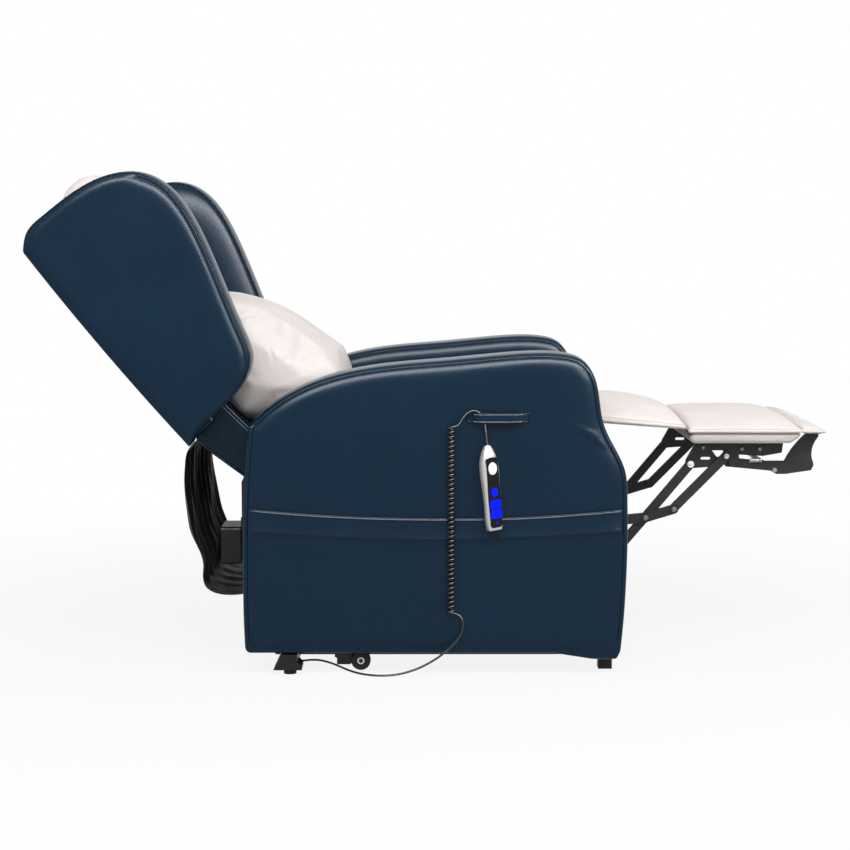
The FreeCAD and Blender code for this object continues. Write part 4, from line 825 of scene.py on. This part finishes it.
def filled_pillow(name, node_name, body, rounding=24, shrink=7.0, reach=26.0, spare=1.0, creases=()):
    """A stuffed leather pillow: a smaller, rounded copy of its solid, blown up inside the solid's space."""
    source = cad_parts[node_name]
    data = source.data.copy()
    data.transform(source.matrix_world)
    data.materials.clear()
    data.materials.append(PALE)
    solid = bmesh.new()
    solid.from_mesh(data)
    fence = BVHTree.FromBMesh(solid)
    solid.free()
    spots = corners_of(data)
    low, high = spots.min(0), spots.max(0)
    middle, half = (low + high) / 2, (high - low) / 2
    data.vertices.foreach_set("co", (middle + (spots - middle) * (1 - shrink * MM / half)).ravel())
    made = bpy.data.objects.new(name, data)
    scene.collection.objects.link(made)
    even = made.modifiers.new("even", "REMESH")
    even.mode, even.voxel_size = "VOXEL", 0.006
    eased = made.modifiers.new("eased", "SMOOTH")
    eased.factor, eased.iterations = 0.5, rounding
    settle(made)
    start = corners_of(made.data)
    cloth = made.modifiers.new("leather", "CLOTH").settings
    cloth.quality, cloth.mass, cloth.air_damping = 5, 0.35, 2.0
    cloth.tension_stiffness = cloth.compression_stiffness = 9.0
    cloth.shear_stiffness, cloth.bending_stiffness = 4.0, 0.8
    cloth.use_pressure, cloth.uniform_pressure_force = True, 4.0
    cloth.effector_weights.gravity = 0.0
    for step in range(1, 21):
        scene.frame_set(step)
    settle(made)
    scene.frame_set(1)
    moved = corners_of(made.data) - start
    length = np.linalg.norm(moved, axis=1)[:, None]
    spots = start + moved * np.minimum(1.0, reach * MM / np.maximum(length, 1e-9))
    for k, spot in enumerate(spots):
        near, normal, _, away = fence.find_nearest(Vector(spot))
        if (Vector(spot) - near).dot(normal) > 0 and away > spare * MM:
            spots[k] = near + (Vector(spot) - near).normalized() * spare * MM
    made.data.vertices.foreach_set("co", spots.ravel())
    if creases:
        crease(made, creases)
    made.data.shade_smooth()
    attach(made, body)
    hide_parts(node_name)


def crease(made, lines):
    """Presses soft creases into a pillow's right side, after one subdivision: lines of (X, Z, depth, width)."""
    finer = made.modifiers.new("finer", "SUBSURF")
    finer.levels = finer.render_levels = 1
    settle(made)
    spots = corners_of(made.data)
    normals = np.empty(len(made.data.vertices) * 3)
    made.data.vertices.foreach_get("normal", normals)
    normals = normals.reshape(-1, 3)
    flat = spots[:, (0, 2)] / MM - BUILD_TO_FRAME[[0, 2]]
    on_side = np.clip(-normals[:, 1] * 1.6, 0, 1) * (spots[:, 1] < 0)
    press = np.zeros(len(spots))
    for line in lines:
        (*line, (depth, width)) = line
        path = spline(line, 3.0)
        away = distance(flat, path, False)
        share = np.clip(np.minimum(np.linalg.norm(flat - path[0], axis=1), np.linalg.norm(flat - path[-1], axis=1))
                        / 26.0, 0, 1)
        press += (depth * bell(away, 0.0, width) - depth * 0.45 * bell(away, width * 2.4, width * 1.4)) * share
    made.data.vertices.foreach_set("co", (spots - normals * (press * on_side * MM)[:, None]).ravel())


def corners_of(data):
    spots = np.empty(len(data.vertices) * 3)
    data.vertices.foreach_get("co", spots)
    return spots.reshape(-1, 3)


def settle(made):
    """Keeps what a piece's modifiers make of it as its mesh, and takes them off."""
    shaped = bpy.data.meshes.new_from_object(made.evaluated_get(bpy.context.evaluated_depsgraph_get()))
    made.modifiers.clear()
    made.data = shaped


LUMBAR_CREASES = [
    [(-352, 688), (-340, 664), (-329, 640), (-326, 622), (1.8, 3.0)],
    [(-338, 668), (-322, 668), (-306, 660), (1.3, 3.0)],
    [(-292, 618), (-276, 632), (-262, 640), (-246, 646), (2.0, 3.2)],
    [(-278, 632), (-262, 622), (-240, 626), (-222, 634), (1.4, 3.0)],
    [(-404, 640), (-384, 612), (-360, 592), (1.0, 5.0)],
    [(-330, 560), (-296, 566), (-262, 580), (0.9, 6.0)],
]


def pillows():
    filled_pillow("seat_pillow", "seat_cushion", "chair_frame")
    filled_pillow("lumbar_pillow", "lumbar_cushion", "backrest", 34, 4.0, 32.0, 6.0, LUMBAR_CREASES)
    filled_pillow("shoulder_pillow", "shoulder_cushion", "backrest")
    filled_pillow("head_pillow", "head_cushion", "backrest", 24, 3.0, 30.0, 5.0)


# Curtain and strap

CURTAIN_DROP = [(-493, 462), (-507, 444), (-513, 410), (-514, 388), (-511, 345), (-505, 305), (-494, 255),
                (-480, 222), (-476, 200), (-478, 180), (-473, 160), (-455, 147), (-430, 142), (-400, 143),
                (-366, 150)]
CURTAIN_HALF = [(0, 253), (240, 253), (300, 258), (480, 264)]


def curtain():
    """The black cloth as one sheet in soft upright folds, from the backrest's foot to the panels' rear edges."""
    drop = spline(CURTAIN_DROP, 5.0)
    run = np.concatenate([[0.0], np.cumsum(np.linalg.norm(np.diff(drop, axis=0), axis=1))])
    along = np.gradient(drop, axis=0)
    out = np.stack([along[:, 1], -along[:, 0]], 1) / np.linalg.norm(along, axis=1)[:, None]
    shares = np.linspace(-1.0, 1.0, 121)
    points = []
    for k, (x, z) in enumerate(drop):
        half = np.interp(run[k], *np.array(CURTAIN_HALF).T)
        deep = np.interp(run[k], [0, 60, 190, 300, 420, 480], [1.0, 5.0, 7.0, 5.0, 3.0, 0.5])
        folds = np.sin(shares * 19.0 + 0.5 * math.sin(run[k] / 70.0)) + 0.4 * np.sin(shares * 43.0 + run[k] / 55.0)
        swing = deep * folds * np.clip((1 - np.abs(shares)) * 12, 0.15, 1)
        points.append(np.stack([x - swing * abs(out[k][0]) * 0.8, shares * half, z - swing * out[k][1] * 0.6], 1))
    wide, tall = len(shares), len(drop)
    faces = [[r * wide + c, r * wide + c + 1, (r + 1) * wide + c + 1, (r + 1) * wide + c]
             for r in range(tall - 1) for c in range(wide - 1)]
    sheet = piece("curtain_cloth", np.vstack(points), faces, LINING, "chair_frame")
    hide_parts("rear_curtain")
    return sheet


# Joint hardware

def hardware():
    """Washers and bolt heads at the legrest's joints, and the wheels' hub caps."""
    for side, sign in SIDES.items():
        for name, (x, z), out, body, radius, finish in (
                ("board_joint_ring", (544, 410), 208.0, "cross_link_pair", 7.6, ZINC),
                ("toggle_joint_bolt", (619, 427), 208.0, "toggle_link_pair", 5.6, ZINC),
                ("arm_end_bolt", (509, 315), 215.0, "toggle_link_pair", 5.2, DARK_ZINC),
                ("cross_joint_bolt", (450, 297), 215.0, "cross_link_pair", 5.2, DARK_ZINC)):
            head = [(0, out - 0.6), (radius, out - 0.6), (radius, out + 0.7), (radius - 0.6, out + 1.3),
                    (radius * 0.62, out + 1.3), (radius * 0.58, out + 0.8), (radius * 0.3, out + 2.2), (0, out + 2.4)]
            turned(f"{name}_{side}", head, (x, 0, z), sign, finish, body)
        hub = [(0, 355.0), (7.5, 355.0), (7.5, 356.6), (6.6, 357.4), (4.6, 357.4), (4.0, 356.8), (0, 356.8)]
        turned(f"wheel_hub_{side}", hub, (-146, 0, 24), sign, ZINC, f"wheel_{side}")


STRAP_ROLL = Roll(3.4, 0.7, (0, 2.2), (0.5, 1.2), (1.4, 0.3), (2.2, 0.0), (3.4, 0.6), (5, 0.9), (8, 1.0))
STRAP_PATH = [(68, 0), (79, 0), (95, -14), (167, -14), (183, 0), (194, 0)]


def strap():
    """The leather strap on the right panel that the hand control hangs behind."""
    line = np.array(STRAP_PATH, float)
    at = np.concatenate([[0.0], np.cumsum(np.linalg.norm(np.diff(line, axis=0), axis=1))])
    even = np.linspace(0.0, at[-1], 90)
    path = np.stack([np.interp(even, at, line[:, k]) for k in (0, 1)], 1)
    for _ in range(14):
        path[1:-1] = (path[:-2] + 2 * path[1:-1] + path[2:]) / 4
    run = np.concatenate([[0.0], np.cumsum(np.linalg.norm(np.diff(path, axis=0), axis=1))])
    along = np.gradient(path, axis=0)
    out = np.stack([along[:, 1], -along[:, 0]], 1) / np.linalg.norm(along, axis=1)[:, None]

    def lay(s, z, depth):
        x, y, ox, oy = (np.interp(s, run, values) for values in (*path.T, *out.T))
        up = 3.0 - depth
        return np.stack([x + ox * up, y + oy * up - HALF_WIDTH - 0.3, z], 1)

    outline = closed_outline([np.array([(0, 515), (run[-1], 515), (run[-1], 536), (0, 536)], float)], 1.6, 2.0)
    face = Face(outline, STRAP_ROLL, 3.0)
    made = padded_panel("strap_leather", face, face, 6.0, lay, "chair_frame", crown=0.0)
    # Dense pale stitches along both edges: real stitching that also paints the strap's edge highlights.
    rows = face.seam_rows(0.0, lay, keep=lambda row: (row[:, 0] > 14) & (row[:, 0] < run[-1] - 14))
    stitches("strap_stitches", rows, PALE_THREAD_AND_HIGHLIGHT, "chair_frame", gap=0.8, radius=0.6)
    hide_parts("control_strap")


finish_nodes()
cords()
arm_panels()
wing_panels()
back_board()
legrest_pads()
footrest_board()
pillows()
curtain()
strap()
hardware()


# Floor, backdrop and lamps

def floor_finish():
    """Studio floor: white where it is seen or mirrored, with the chair's faint shadow near it."""
    finish = Finish("studio_floor", (0.62, 0.62, 0.62), 0.9)
    grain = finish.noise(4.0)
    finish.set("Base Color", finish.mix(finish.between(grain, 0.3, 0.7), finish.shade(0.99), finish.shade(1.0)))
    glow = finish.node("ShaderNodeEmission", {}, {"Color": (1.0, 1.0, 1.0, 1.0), "Strength": 1.0})
    away = finish.node("ShaderNodeVectorMath", {"operation": "LENGTH"}, {0: finish.where()}, "Value")
    seen = finish.ray("Is Camera Ray").larger(finish.ray("Is Glossy Ray")).larger(finish.ray("Is Transmission Ray"))
    share = seen * (finish.between(away, 0.8, 2.2) * 0.12 + 0.88)
    blend = finish.node("ShaderNodeMixShader", {}, {0: share, 1: finish.surface, 2: glow})
    finish.node("ShaderNodeOutputMaterial", {"is_active_output": True}, {"Surface": blend})
    return finish.material


def studio():
    floor = piece("floor", [(-9000, -5000, 0), (9000, -5000, 0), (9000, 12000, 0), (-9000, 12000, 0)],
                  [(0, 1, 2, 3)], floor_finish(), None)
    world = bpy.data.worlds.new("studio")
    world.use_nodes = True
    sky = Nodes(world.node_tree)
    seen = sky.ray("Is Camera Ray").larger(sky.ray("Is Glossy Ray")).larger(sky.ray("Is Transmission Ray"))
    tint = sky.mix(seen, (0.34, 0.343, 0.35, 1.0), (1.0, 1.0, 1.0, 1.0))
    glow = sky.node("ShaderNodeBackground", {}, {"Color": tint, "Strength": 1.0})
    sky.node("ShaderNodeOutputWorld", {}, {"Surface": glow})
    scene.world = world
    scene.view_settings.view_transform = "Standard"


def lamp(name, spot, target, size, power, sheen_only=False):
    """A softbox aimed at a point. One for sheen only shows in gloss and adds no light to colours."""
    data = bpy.data.lights.new(name, "AREA")
    data.shape, data.size, data.size_y, data.energy = "RECTANGLE", size[0], size[1], power
    made = bpy.data.objects.new(name, data)
    made.location, made.visible_diffuse = spot, not sheen_only
    made.rotation_euler = (Vector(target) - Vector(spot)).to_track_quat("-Z", "Y").to_euler()
    scene.collection.objects.link(made)


studio()
lamp("overhead_softbox", (0.3, 0.2, 2.8), (0.0, 0.0, 0.5), (3.2, 1.2), 6.0)
lamp("key_softbox", (0.2, -2.15, 2.4), (0.0, 0.0, 0.55), (4.4, 0.8), 100.0)
lamp("key_sheen", (0.5, -2.15, 2.4), (0.0, 0.0, 0.6), (4.4, 0.8), 205.0, sheen_only=True)
lamp("front_sheen", (1.9, -2.1, 1.7), (0.0, 0.0, 0.75), (1.6, 1.4), 85.0, sheen_only=True)
lamp("front_softbox", (2.7, -0.9, 1.9), (0.0, 0.0, 0.6), (1.0, 1.4), 10.0)
